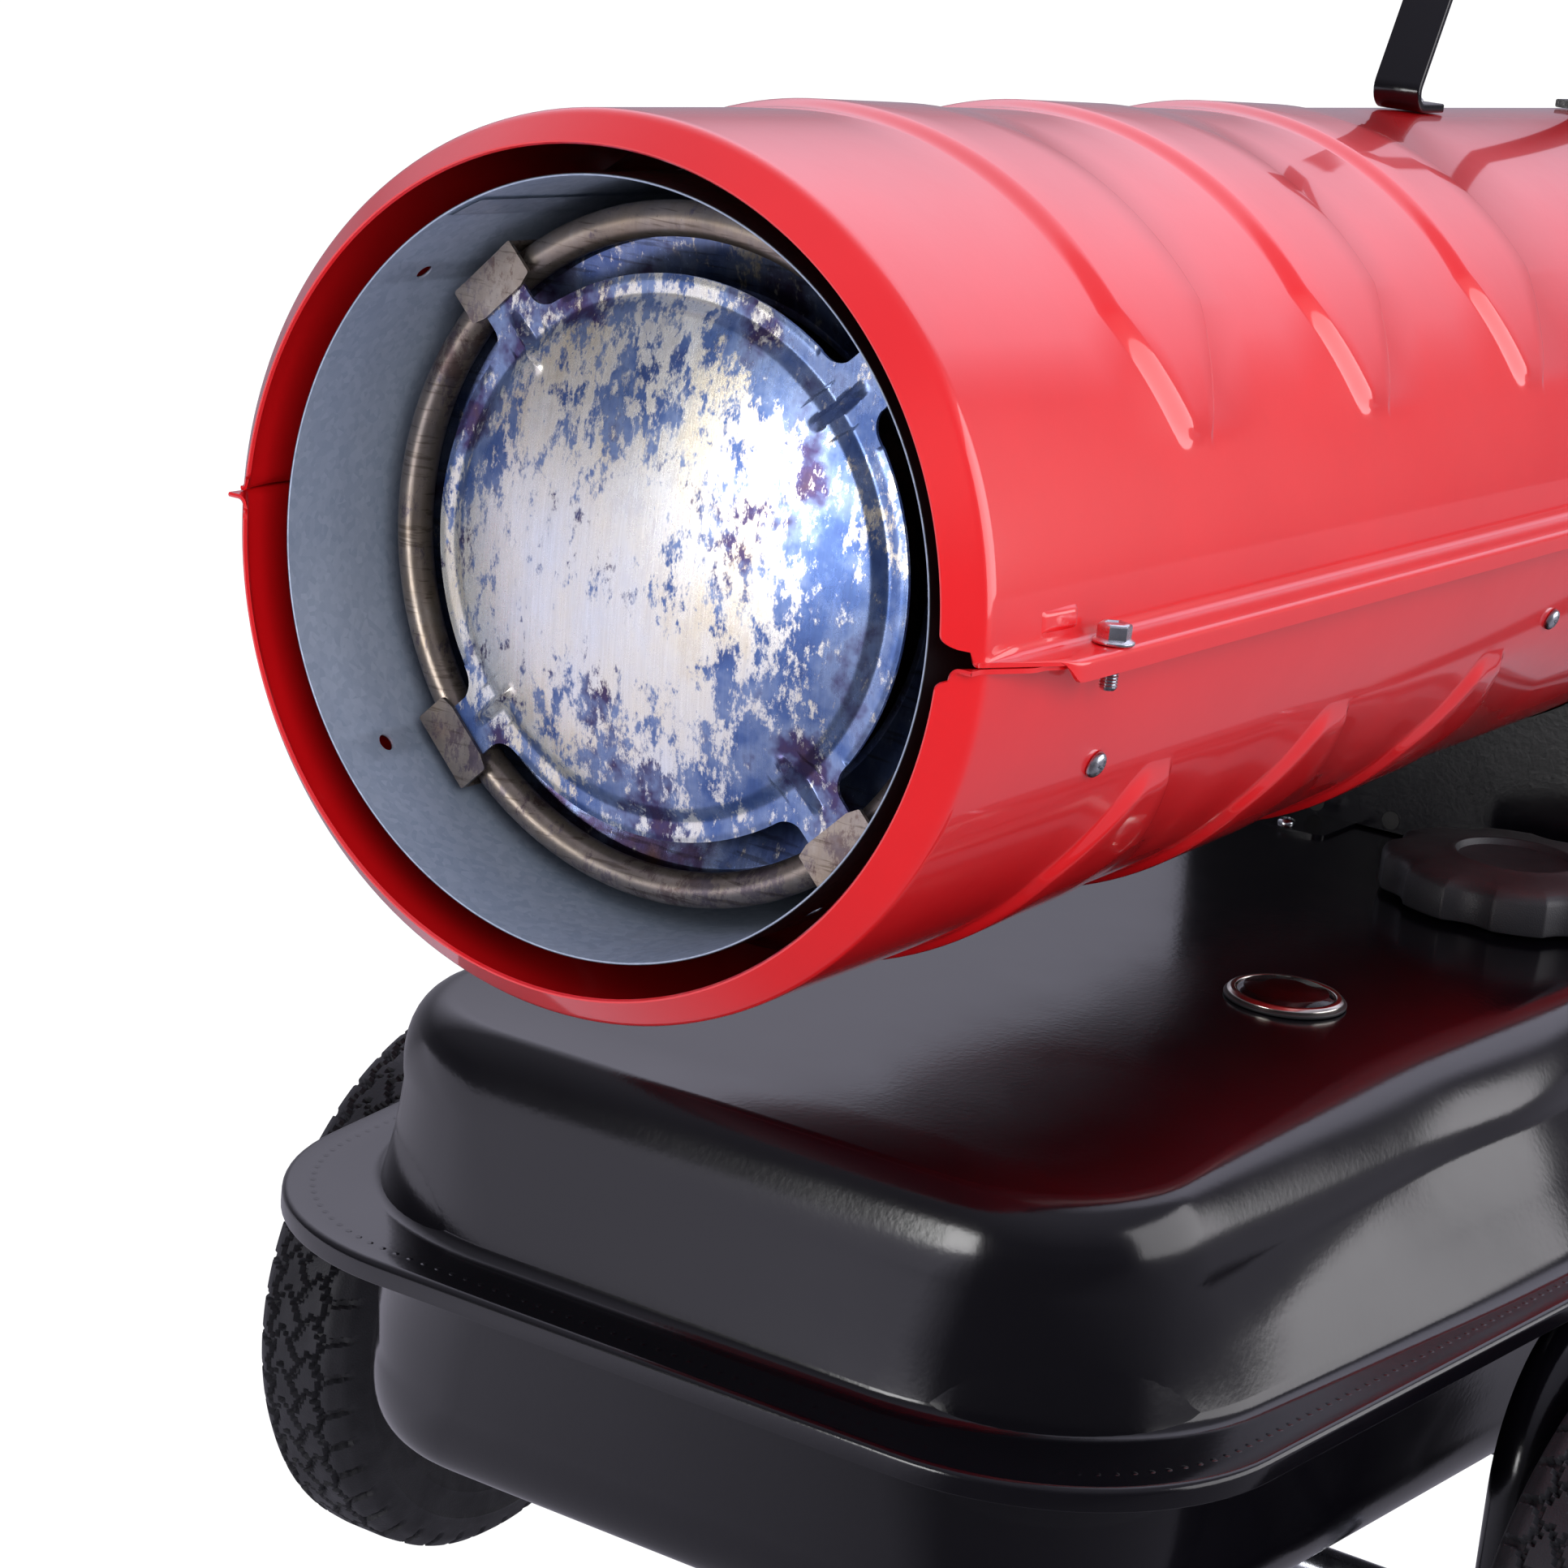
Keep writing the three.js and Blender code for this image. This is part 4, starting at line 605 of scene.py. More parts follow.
# small pressed key beside the front bolt
for side in (-1, 1):
    sh = Shape()
    us, vs = np.linspace(0, 1, 25), np.linspace(0, 1, 15)
    G = np.zeros((25, 15, 3))
    for i, u in enumerate(us):
        for j, v in enumerate(vs):
            t = math.radians(84.4 + 3.5 * v)
            edge = min(u * 23, (1 - u) * 23, v * 8.8, (1 - v) * 8.8)
            rr = R0 - 0.5 + 1.9 * float(smooth(edge / 2.4)) * (0.55 + 0.45 * u)
            G[i, j] = (41 + 23 * u, side * rr * math.sin(t), rr * math.cos(t))
    sh.grid(G)
    put(f"seam_key_{'near' if side < 0 else 'far'}", sh, RED, "heater", (), sharp=60)

# ------------------------------------------------------------------ liner, chamber, baffle
liner = Shape()
prof = rounded([(125, 10), (125, 640), (124, 640), (124, 10)], 0.35, 2)
revolve(prof, "x", segs=192, shape=liner)
lin = put("liner_tube", liner, GALV, "heater", ["inner_liner"])
cut = Shape()
for a in (50, 130, -140):
    t = math.radians(a)
    d = np.array([0, math.sin(t), math.cos(t)])
    p0, p1 = d * 115 + [34, 0, 0], d * 135 + [34, 0, 0]
    sweep(np.array([p0, (p0 + p1) / 2, p1]), circle(3.0, 16), cut, up=(1, 0, 0))
me = bpy.data.meshes.new("cutters")
me.from_pydata(world(cut.verts()).tolist(), [], cut.f)
co = bpy.data.objects.new("cutters", me)
scene.collection.objects.link(co)
bm = bmesh.new(); bm.from_mesh(me); bmesh.ops.remove_doubles(bm, verts=bm.verts, dist=1e-6); bmesh.ops.recalc_face_normals(bm, faces=bm.faces); bm.to_mesh(me); bm.free()
md = lin.modifiers.new("holes", "BOOLEAN")
md.object, md.operation, md.solver = co, "DIFFERENCE", "EXACT"
bpy.context.view_layer.update()
dg = bpy.context.evaluated_depsgraph_get()
baked = bpy.data.meshes.new_from_object(lin.evaluated_get(dg))
lin.modifiers.clear()
lin.data = baked
bpy.data.objects.remove(co)
for p in lin.data.polygons:
    p.use_smooth = True
lin.data.set_sharp_from_angle(angle=math.radians(30))
if not lin.data.materials:
    lin.data.materials.append(GALV)

# lap joint of the liner sheet
lap = Shape()
aa = np.radians(np.linspace(-34, -27, 8))
lap.grid(np.array([[[x, -(123.9 - 0.9 * min(1, k / 1.0)) * math.sin(t), (123.9 - 0.9 * min(1, k / 1.0)) * math.cos(t)] for k, t in enumerate(aa)] for x in (11, 200, 420, 638)]))
put("liner_lap", lap, GALV, "heater", (), sharp=60)

CX = 52.0
cr = 112.0
a = np.linspace(1.30 * pi, -0.22 * pi, 26)
roll = [(109.8 + 5.95 * math.cos(t), CX + 6 - 5.95 * math.sin(t)) for t in a]
cham = [*roll, (cr, CX + 12.5), (cr, 430), (60, 464), (60, 476), (58.5, 476), (58.5, 463), (cr - 1.5, 429), (cr - 1.5, CX + 12.2)]
sh = revolve(np.array(cham), "x", segs=160)
for x in (130, 400):
    for d in (0, 120, 240):
        t = math.radians(d + 30)
        c, s = math.cos(t), math.sin(t)
        for w in (0,):
            v = [(xx, -zz * s + yy * c, zz * c + yy * s) for xx in (x - 8, x + 8) for yy in (-1, 1) for zz in (cr - 0.8, 123)]
            sh.add(v, [(0, 1, 3, 2), (4, 6, 7, 5), (0, 4, 5, 1), (2, 3, 7, 6), (0, 2, 6, 4), (1, 5, 7, 3)])
put("chamber_drum", sh, BRONZE, "heater", ["combustion_chamber"], sharp=45)

ringp = rounded([(110.2, 80), (110.2, 65.6), (104, 65.6), (89, 69.5), (85.5, 72), (84.2, 79), (85.6, 79), (86.7, 73), (89.6, 71), (104, 67.2), (108.4, 67.2), (108.4, 80)], 1.0, 3)
put("chamber_throat", revolve(ringp, "x", segs=144), HEATD, "heater", ["chamber_outlet_ring"], sharp=45)

# baffle disc with four arms, drawn as a polar height field and given a thickness
DX = 47.0
dl = np.concatenate([np.linspace(0, 0.03, 8), np.linspace(0.03, 0.08, 7)[1:], np.linspace(0.08, 0.2, 34)[1:], np.linspace(0.2, pi / 4, 40)[1:-1]])
dl = np.concatenate([-dl[::-1][:-1], dl, [pi / 4]])
phi = np.concatenate([pi / 4 + q * pi / 2 + dl for q in range(4)])
ARM, FIL = 9.5, 7.0


def outline(ph):
    d = np.abs(ph % (pi / 2) - pi / 4)            # angle to the nearest arm centre
    d1, d0 = (ARM + FIL) / 92.5, ARM / (92.5 + FIL)
    t = np.clip((d1 - d) / (d1 - d0), 0, 1)
    fillet = 92.5 + FIL * (1 - np.sqrt(1 - t ** 2))
    arm = ARM / np.maximum(np.sin(d), 1e-6)
    return np.where(d > d0, fillet, np.minimum(np.maximum(arm, 92.5 + FIL), 110.0 / np.cos(d))), d


Rout, dist = outline(phi)
u = np.concatenate([np.linspace(0, 0.66, 26), np.linspace(0.66, 0.95, 52)[1:], np.linspace(0.95, 1.0, 8)[1:]])
RR = np.minimum(u[:, None], 1) * Rout[None, :]
PH = np.broadcast_to(phi[None, :], RR.shape)
DD = np.broadcast_to(dist[None, :], RR.shape)


def disc_height(r, d):
    dome = 9.5 * np.clip(1 - (r / 86.0) ** 2, 0, 1)
    step = 1.7 * (1 - smooth((r - 80.5) / 5.5))
    lat = r * np.sin(d)
    along = smooth((r - 74) / 9) * (1 - smooth((r - 90) / 9))
    rib = 3.6 * along * np.clip(1 - np.abs(lat) / 2.4, 0, 1) ** 0.8
    curl = -0.5 * smooth((r - 90) / 3) * (d > 0.2)
    return dome + step + rib + curl


H = disc_height(RR, DD)
X = DX + 2.4 - H
front = np.stack([X, RR * np.sin(PH), RR * np.cos(PH)], -1)
backp = front + np.array([1.3, 0, 0])
sh = Shape()
sh.grid(front, cv=True)
sh.grid(backp, cv=True)
sh.grid(np.stack([front[-1], backp[-1]], 0), cv=True)
hooks = Shape()
for q in (45, 135, 225, 315):
    t = math.radians(q)
    c, s = math.cos(t), math.sin(t)

    def arm(outl, x0, x1, sh=sh):
        o = rounded(outl, 1.0, 3)
        pts = prism(np.array([(y * c + z * s, -y * s + z * c) for y, z in o]), x0, x1, "x")
        sh.add(pts.verts(), pts.f)
    arm([(-9.5, 103), (-14.5, 104.5), (-14.5, 117.2), (14.5, 117.2), (14.5, 104.5), (9.5, 103)], DX + 1.0, DX + 2.5, hooks)
    for y0 in (-14.5, 9.0):
        arm([(y0, 115.9), (y0, 117.4), (y0 + 5.5, 117.4), (y0 + 5.5, 115.9)], DX + 1.2, CX + 12, hooks)
        arm([(y0, 112.4), (y0, 117.0), (y0 + 5.5, 117.0), (y0 + 5.5, 112.4)], CX + 10.8, CX + 12, hooks)
put("baffle_plate", sh, HEAT, "heater", ["baffle_disc"], sharp=50)
put("baffle_hooks", hooks, BRONZE, "heater", (), sharp=40)


# ------------------------------------------------------------------ fasteners
def hex_bolt(name, x, y, node):
    z0 = T + GAP / 2 + GAP
    sh = revolve(rounded([(0, z0), (6.8, z0), (6.9, z0 + 0.8), (5.2, z0 + 1.7), (0, z0 + 1.7)], [0, 0.2, 0.3, 0.4, 0], 3, True), "z", (x, y, 0), 48)
    hexo = np.array([(x + 5.6 * math.cos(k * pi / 3 + 0.2), y + 5.6 * math.sin(k * pi / 3 + 0.2)) for k in range(6)])
    rows = []
    for inset, z in ((0, z0 + 1.4), (0, z0 + 5.4), (0.35, z0 + 6.0), (0.9, z0 + 6.3), (2.0, z0 + 6.35), (2.5, z0 + 6.0), (5.59, z0 + 5.95)):
        rows.append(np.hstack([(hexo - [x, y]) * (1 - inset / 5.6) + [x, y], np.full((6, 1), z)]))
    rows = np.array(rows)
    sh.grid(rows, cv=True)
    th = [(0.0, -13.0), (2.2, -13.0), (2.9, -12.2)]
    z = -12.2
    while z < -3.0:
        th += [(2.55, z + 0.25), (3.0, z + 0.55), (3.0, z + 0.7)]
        z += 1.0
    th += [(3.0, z0), (0, z0)]
    revolve(np.array(th), "z", (x, y, 0), 28, True, sh)
    put(name, sh, ZINC, "heater", [node], sharp=32)


hex_bolt("bolt_near_front", 72, -154, "seam_bolt_near_front")
hex_bolt("bolt_near_rear", 800, -154, "seam_bolt_near_rear")
hex_bolt("bolt_far_front", 72, 154, "seam_bolt_far_front")
hex_bolt("bolt_far_rear", 800, 154, "seam_bolt_far_rear")


def cross_screw(name, origin, normal, r=4.7, height=3.0, mat=ZINC, body="heater", stands=(), spin=0.3):
    n = np.array(normal, float); n /= np.linalg.norm(n)
    a = np.cross(n, [1, 0, 0.01]); a /= np.linalg.norm(a)
    b = np.cross(n, a)
    rr = np.concatenate([np.linspace(0, r * 0.66, 13), np.linspace(r * 0.66, r, 9)[1:]])
    tt = np.linspace(0, 2 * pi, 64, endpoint=False)
    Rg, Tg = np.meshgrid(rr, tt, indexing="ij")
    h = height * np.sqrt(np.clip(1 - (Rg / r) ** 2.6, 0, 1)) * 0.85 + 0.3
    ux, uy = Rg * np.cos(Tg + spin), Rg * np.sin(Tg + spin)
    w = 0.62
    cross = np.maximum(np.clip(1 - np.abs(ux) / w, 0, 1) * (np.abs(uy) < r * 0.5), np.clip(1 - np.abs(uy) / w, 0, 1) * (np.abs(ux) < r * 0.5))
    h = h - 1.5 * smooth(cross * 1.8)
    o = np.array(origin, float)
    P = o + Rg[..., None] * (np.cos(Tg)[..., None] * a + np.sin(Tg)[..., None] * b) + h[..., None] * n
    base = o + rr[-1] * (np.cos(tt)[:, None] * a + np.sin(tt)[:, None] * b)
    sh = Shape()
    sh.grid(P, cv=True)
    sh.grid(np.stack([P[-1], base], 0), cv=True)
    sh.add(base, [list(range(len(tt)))])
    return put(name, sh, mat, body, stands, sharp=35)


for nm, x, node in (("barrel_screw_front", 100, "shell_screw_front"), ("barrel_screw_rear", 486, "shell_screw_rear")):
    t = math.radians(108)
    n = np.array([0, -math.sin(t), math.cos(t)])
    cross_screw(nm, n * (R0 + GAP) + [x, 0, 0], n, stands=[node])

# ------------------------------------------------------------------ carry strap
STX0, STX1, STZ = 566.0, 820.0, R0 + 86
z0 = R0 + GAP + 2
cl = [(STX0 + 34, z0), (STX0 + 2, z0), (STX0 + 45, STZ), (STX1 - 45, STZ), (STX1 - 2, z0), (STX1 - 34, z0)]
pts = rounded(cl, [0, 7, 14, 14, 7, 0], 8, False)
path = np.stack([pts[:, 0], 0 * pts[:, 0], pts[:, 1]], -1)
sec = rounded([(-11, -2), (11, -2), (11, 2), (-11, 2)], 0.9, 3)
sh = sweep(path, sec, up=(0, 0, 1) if False else (-1, 0, 1))
T3 = np.gradient(path, axis=0); T3 /= np.linalg.norm(T3, axis=1)[:, None]
sh = Shape()
rings = []
for p, t in zip(path, T3):
    nrm = np.cross(t, [0, 1, 0])
    rings.append(p + sec[:, :1] * np.array([0, 1, 0]) + sec[:, 1:] * nrm)
sh.grid(np.array(rings), cv=True)
for ring in (rings[0], rings[-1]):
    sh.add(ring, [list(range(len(sec)))])
put("strap_handle", sh, BLACK, "heater", ["carry_strap"], sharp=45)
for x in (STX0 + 25, STX1 - 25):
    cross_screw(f"strap_screw_{int(x)}", (x, 0, R0 + GAP + 4.0), (0, 0, 1), 4.4, 2.4, stands=())

# ------------------------------------------------------------------ tank
# a plan outline is four stations per side: x and half width; the end corners are round
RIM = np.array([(70, 198), (351, 228.4), (430, 237), (835, 237)], float)
FOOT = np.array([(99, 171), (351, 209.4), (430, 218), (810, 218)], float)
SIDE = np.array([(104, 167), (351, 176), (430, 186), (798, 188)], float)
ROOF = np.array([(118, 153), (351, 141), (560, 162), (781, 162)], float)
UNDER = np.array([(122, 152), (351, 170), (430, 179), (777, 179)], float)


def plan(P, rc, inset=0.0, arc=20):
    C = [(*P[0], rc), (*P[1], 60), (*P[2], 60), (*P[3], rc), (P[3][0], -P[3][1], rc), (P[2][0], -P[2][1], 60), (P[1][0], -P[1][1], 60), (P[0][0], -P[0][1], rc)]
    n = len(C)
    Q = [np.array(c[:2], float) for c in C]
    E = []
    for i in range(n):
        d = Q[(i + 1) % n] - Q[i]
        d /= np.linalg.norm(d)
        E.append((Q[i] + np.array([d[1], -d[0]]) * inset, d))
    K = []
    for i in range(n):
        (pa, da), (pb, db) = E[i - 1], E[i]
        det = da[0] * db[1] - da[1] * db[0]
        if abs(det) < 0.02:
            K.append(Q[i] + np.array([da[1] + db[1], -da[0] - db[0]]) / 2 * inset)
        else:
            K.append(pa + da * (((pb[0] - pa[0]) * db[1] - (pb[1] - pa[1]) * db[0]) / det))
    out, marks = [], []
    for i in range(n):
        p, a, b = K[i], K[i - 1], K[(i + 1) % n]
        la, lb = np.linalg.norm(a - p), np.linalg.norm(b - p)
        uu, vv = (a - p) / la, (b - p) / lb
        if C[i][2] == 60:                              # soft bend along a side
            c = 26.0
            marks.append(len(out))
            for k in range(7):
                t = k / 6
                out.append(p + uu * c * (1 - t) ** 2 + vv * c * t ** 2)
            continue
        ang = math.acos(float(np.clip(uu @ vv, -1, 1)))
        r = max(rc - inset, 8)
        c = r / math.tan(ang / 2)
        s, e = p + uu * c, p + vv * c
        bis = (uu + vv) / np.linalg.norm(uu + vv)
        cen = p + bis * math.hypot(r, c)
        marks.append(len(out))
        a0, a1 = math.atan2(*(s - cen)[::-1]), math.atan2(*(e - cen)[::-1])
        while a1 - a0 > pi: a1 -= 2 * pi
        while a1 - a0 < -pi: a1 += 2 * pi
        for k in range(arc + 1):
            t = a0 + (a1 - a0) * k / arc
            out.append(cen + r * np.array([math.cos(t), math.sin(t)]))
    # extra stations between one corner and the next
    full = []
    for i, q in enumerate(out):
        if i in marks:
            a = out[i - 1]
            full.extend(a + (q - a) * k / 7 for k in range(1, 7))
        full.append(q)
    return np.array(full)


def loft(rows, cap_first=False, cap_last=False, shape=None, closed=False):
    shape = shape or Shape()
    G = []
    for P, rc, d, z in rows:
        o = plan(P, rc, d)
        G.append(np.hstack([o, np.full((len(o), 1), z)]))
    G = np.array(G)
    shape.grid(G, cu=closed, cv=True)
    if cap_first:
        shape.add(G[0], [list(range(G.shape[1]))])
    if cap_last:
        shape.add(G[-1], [list(range(G.shape[1]))])
    return shape


UP, TT, TB = -283.0, -202.0, -378.0
lip_up = [(RIM, 98, d, z) for d, z in rounded([(3.0, UP - 7), (0.2, UP - 7), (0.2, UP + 1.5), (9, UP + 1.5)], [0, 0.5, 2.6, 0], 5, False)]


def fillet_rows(A, B, z0, dz, rise, n=6):
    rows = []
    for k in range(n + 1):
        a = k / n * pi / 2
        t = rise * (1 - math.cos(a))
        rows.append((A + (B - A) * t, 103, -5.0 * (1 - math.sin(a)), z0 + dz * (1 - math.cos(a))))
    return rows


def shoulder(B, C, z1, dz, rb, rcn, n=12):
    rows = []
    for k in range(n + 1):
        a = k / n * pi / 2
        rows.append((C + (B - C) * math.cos(a), rb + (rcn - rb) * math.sin(a), 0.0, z1 + dz * math.sin(a)))
    return rows


top = lip_up + fillet_rows(FOOT, SIDE, UP + 1.5, 5.0, 0.1) + [(FOOT + (SIDE - FOOT) * 0.5, 90, 0, (UP + 6.5 + TT - 36) / 2)] + shoulder(SIDE, ROOF, TT - 36, 36, 76, 58)
sh = loft(top, False, False)
# slightly crowned roof, closed towards its middle
mid_roof = [(ROOF, 58, 30, TT + 0.15), (ROOF, 58, 80, TT + 0.4)]
loft([top[-1]] + mid_roof, False, True, sh)
loft([(RIM, 98, 3.0, UP - 7), (RIM, 98, 1.8, UP - 6.4), (RIM, 98, 1.8, UP + 0.15), (FOOT, 92, 1.6, UP + 0.2), (SIDE, 76, 1.8, TT - 37), (ROOF + (SIDE - ROOF) * 0.6, 66, 1.8, TT - 12), (ROOF, 58, 0, TT - 1.5)], False, True, sh)
put("tank_top_half", sh, BLACK, "heater", ["tank_upper"], sharp=55)
low = [(RIM, 98, d, z) for d, z in rounded([(3.0, UP - 0.2), (3.0, UP - 1.5), (9, UP - 1.5)], [0, 0.5, 0], 3, False)] + fillet_rows(FOOT, UNDER, UP - 1.5, -5.0, 0.06) \
    + [(FOOT + (UNDER - FOOT) * 0.2, 86, 0, TB + 50)] + shoulder(FOOT + (UNDER - FOOT) * 0.3, UNDER, TB + 34, -34, 80, 56)
sh = loft(low, False, True)
loft([(RIM, 98, 3.0, UP - 0.2), (FOOT, 92, 1.6, UP - 0.2), (FOOT + (UNDER - FOOT) * 0.2, 86, 1.6, TB + 50), (UNDER, 58, 1.5, TB + 4), (UNDER, 56, 10, TB + 1.5)], False, True, sh)
put("tank_bottom_half", sh, BLACK, "heater", ["tank_lower"], sharp=55)
# row of resistance-weld marks on the rim
sh = Shape()
o = plan(RIM, 98, 11.5, arc=60)
seg = np.linalg.norm(np.roll(o, -1, 0) - o, axis=1)
cum = np.concatenate([[0], np.cumsum(seg)])
oc = np.vstack([o, o[:1]])
for d in np.arange(0, cum[-1], 6.5):
    p = np.array([np.interp(d, cum, oc[:, 0]), np.interp(d, cum, oc[:, 1])])
    revolve([(0, UP + 1.74), (0.9, UP + 1.68), (1.5, UP + 1.45)], "z", (p[0], p[1], 0), 8, False, sh)
put("rim_weld_marks", sh, BLACK, "heater", (), sharp=70)

# ------------------------------------------------------------------ gauge and cap
GX, GY = 390.0, -86.0
sh = revolve(rounded([(17.5, TT - 8), (22.1, TT - 8), (22.1, TT + 0.4), (25.0, TT + 0.4), (25.2, TT + 1.8), (21.8, TT + 2.4), (21.6, TT - 2.2), (17.5, TT - 2.2)], 0.5, 3), "z", (GX, GY, 0), 72)
revolve([(4, TT - 150), (4, TT - 9), (0.01, TT - 9), (0.01, TT - 150)], "z", (GX + 9, GY, 0), 20, True, sh)
revolve([(7, TT - 152), (7, TT - 149), (0.01, TT - 149), (0.01, TT - 152)], "z", (GX + 9, GY, 0), 20, True, sh)
block(GX - 18, GX + 18, GY - 2.5, GY + 2.5, TT - 10, TT - 8, sh)
put("gauge_bezel", sh, SATIN, "heater", ["gauge_housing"])
sh = revolve(rounded([(20.4, TT + 2.0), (23.8, TT + 1.9), (23.9, TT + 3.0), (22.6, TT + 4.0), (20.8, TT + 4.1), (20.4, TT + 3.6)], 0.5, 3), "z", (GX, GY, 0), 72)
put("gauge_trim", sh, TRIM, "heater", ())
sh = revolve(rounded([(0.0, TT - 1.6), (20.2, TT - 1.6), (20.2, TT + 3.4), (17.5, TT + 5.2), (9, TT + 6.4), (0.0, TT + 6.7)], [0, 0.4, 0.9, 1.5, 8, 0], 5, True), "z", (GX, GY, 0), 72)
put("gauge_lens", sh, GLASS, "heater", ["gauge_glass"], sharp=50)
sh = revolve(rounded([(0.0, TT - 12), (1.4, TT - 12), (1.4, TT - 6.6), (15, TT - 6.6), (15, TT - 5.4), (0.0, TT - 5.4)], [0, 0.2, 0.2, 0.3, 0.3, 0], 2, True), "z", (GX, GY, 0), 48)
put("gauge_dial", sh, MAROON, "pointer", ["gauge_pointer"])
sh = prism(rounded([(GX - 0.9, GY + 1), (GX + 0.9, GY + 1), (GX + 0.6, GY + 13), (GX - 0.6, GY + 13)], 0.3, 2), TT - 5.5, TT - 5.0)
put("gauge_mark", sh, GREYD, "pointer", ())

KX, KY, KR = 604.0, -94.0, 59.8
ph = np.linspace(0, 2 * pi, 480, endpoint=False)
# shallow scallops: 0 on a lobe, 1 at the bottom of a scallop
c = ((ph - math.radians(3.2)) * 8 / (2 * pi)) % 1.0
c = np.minimum(c, 1 - c) * 47.0                # arc distance from the scallop's middle
cutd = 4.4 * np.clip(1 - (c / 11.8) ** 2, 0, 1)


def cap_ring(r, z, f):
    rr = r - cutd * f
    return np.stack([KX + rr * np.cos(ph), KY + rr * np.sin(ph), np.full_like(ph, z)], -1)


rows = [cap_ring(24.5, TT + 16.6, 0), cap_ring(24.5, TT + 4.8, 0), cap_ring(29.5, TT + 4.6, 0), cap_ring(44, TT + 2.8, 0.3), cap_ring(KR - 2.2, TT + 2.6, 1), cap_ring(KR - 0.6, TT + 3.3, 1), cap_ring(KR, TT + 4.8, 1),
        cap_ring(KR - 0.2, TT + 17.0, 1), cap_ring(KR - 1.0, TT + 18.9, 1), cap_ring(KR - 2.6, TT + 20.3, 1), cap_ring(KR - 5, TT + 21.3, 0.9), cap_ring(KR - 13, TT + 22.3, 0.3), cap_ring(34, TT + 23.4, 0), cap_ring(29.5, TT + 24.0, 0), cap_ring(28.4, TT + 24.3, 0),
        cap_ring(27.3, TT + 24.0, 0), cap_ring(26.6, TT + 22.6, 0), cap_ring(25.8, TT + 21.4, 0), cap_ring(24, TT + 21.0, 0), cap_ring(0.0, TT + 21.0, 0)]
sh = Shape()
sh.grid(np.array(rows), cv=True)
sh.add(rows[0], [list(range(len(ph)))])
put("fuel_cap", sh, PLASTIC, "cap", ["filler_cap"], sharp=42)
sh = revolve(rounded([(17, TT - 30), (20.7, TT - 30), (20.7, TT + 0.5), (27, TT + 0.5), (27, TT + 1.8), (22, TT + 1.8), (22, TT + 14), (17, TT + 14)], 0.4, 3), "z", (KX, KY, 0), 64)
put("neck", sh, ZINC, "heater", ["filler_neck"])

# ------------------------------------------------------------------ frame tube, leg, grip
WX, WZ, TY, RZ = 358.0, -416.0, 226.0, -305.5
pts = [(WX, -TY, WZ - 22), (WX, -TY, RZ), (884, -TY, RZ), (968, -TY, -18), (968, TY, -18), (884, TY, RZ), (WX, TY, RZ), (WX, TY, WZ - 22)]
path = bent_path(pts, [52, 70, 58, 58, 70, 52], 14)
sh = sweep(path, circle(12.5, 28), up=(1, 0, 0))
for x in (420, 724):
    for s in (-1, 1):
        y0, y1 = (219.5, 232) if s > 0 else (-232, -219.5)
        block(x - 9, x + 9, y0, y1, RZ + 11.1, UP - 2.2, sh)
put("tube_frame", sh, BLACK, "heater", ["frame_tube"], sharp=40)
for i, x in enumerate((420, 724)):
    for s in (-1, 1):
        cross_screw(f"rim_screw_{i}_{'near' if s < 0 else 'far'}", (x, s * 228, UP + 1.6), (0, 0, 1), 5.0, 2.8)

prof = [(16.9, -92.0)]
gp = [(13.0, -92), (16.0, -92), (17.0, -89)]
for y in np.arange(-84, 85, 8.0):
    gp += [(17.0, y - 3), (16.0, y - 1.2), (16.0, y + 1.2), (17.0, y + 3)]
gp += [(17.0, 89), (16.0, 92), (13.0, 92)]
sh = revolve(np.array(gp), "y", (968, 0, -18), 56)
put("hand_grip", sh, RUBBER, "heater", ["handle_grip"], sharp=35)

LX, LZ = 778.0, -528.0
path = bent_path([(LX, -TY, RZ - 12.8), (LX, -TY, LZ), (LX, TY, LZ), (LX, TY, RZ - 12.8)], [45, 45], 12)
put("leg_tube", sweep(path, circle(11, 26), up=(1, 0, 0)), BLACK, "heater", ["rear_leg"], sharp=40)
for s in (-1, 1):
    a, b = sorted((s * 130, s * 174))
    sh = block(LX - 17, LX + 17, a, b, -543, LZ + 16)
    put(f"rubber_foot_{'near' if s < 0 else 'far'}", sh, RUBBER, "heater", [f"foot_pad_{'near' if s < 0 else 'far'}"], bevel=2.5)

sh = revolve(rounded([(0, -309), (8, -309), (8, 309), (0, 309)], [0, 1, 1, 0], 3), "y", (WX, 0, WZ), 40)
put("axle_rod", sh, ZINC, "heater", ["axle"])

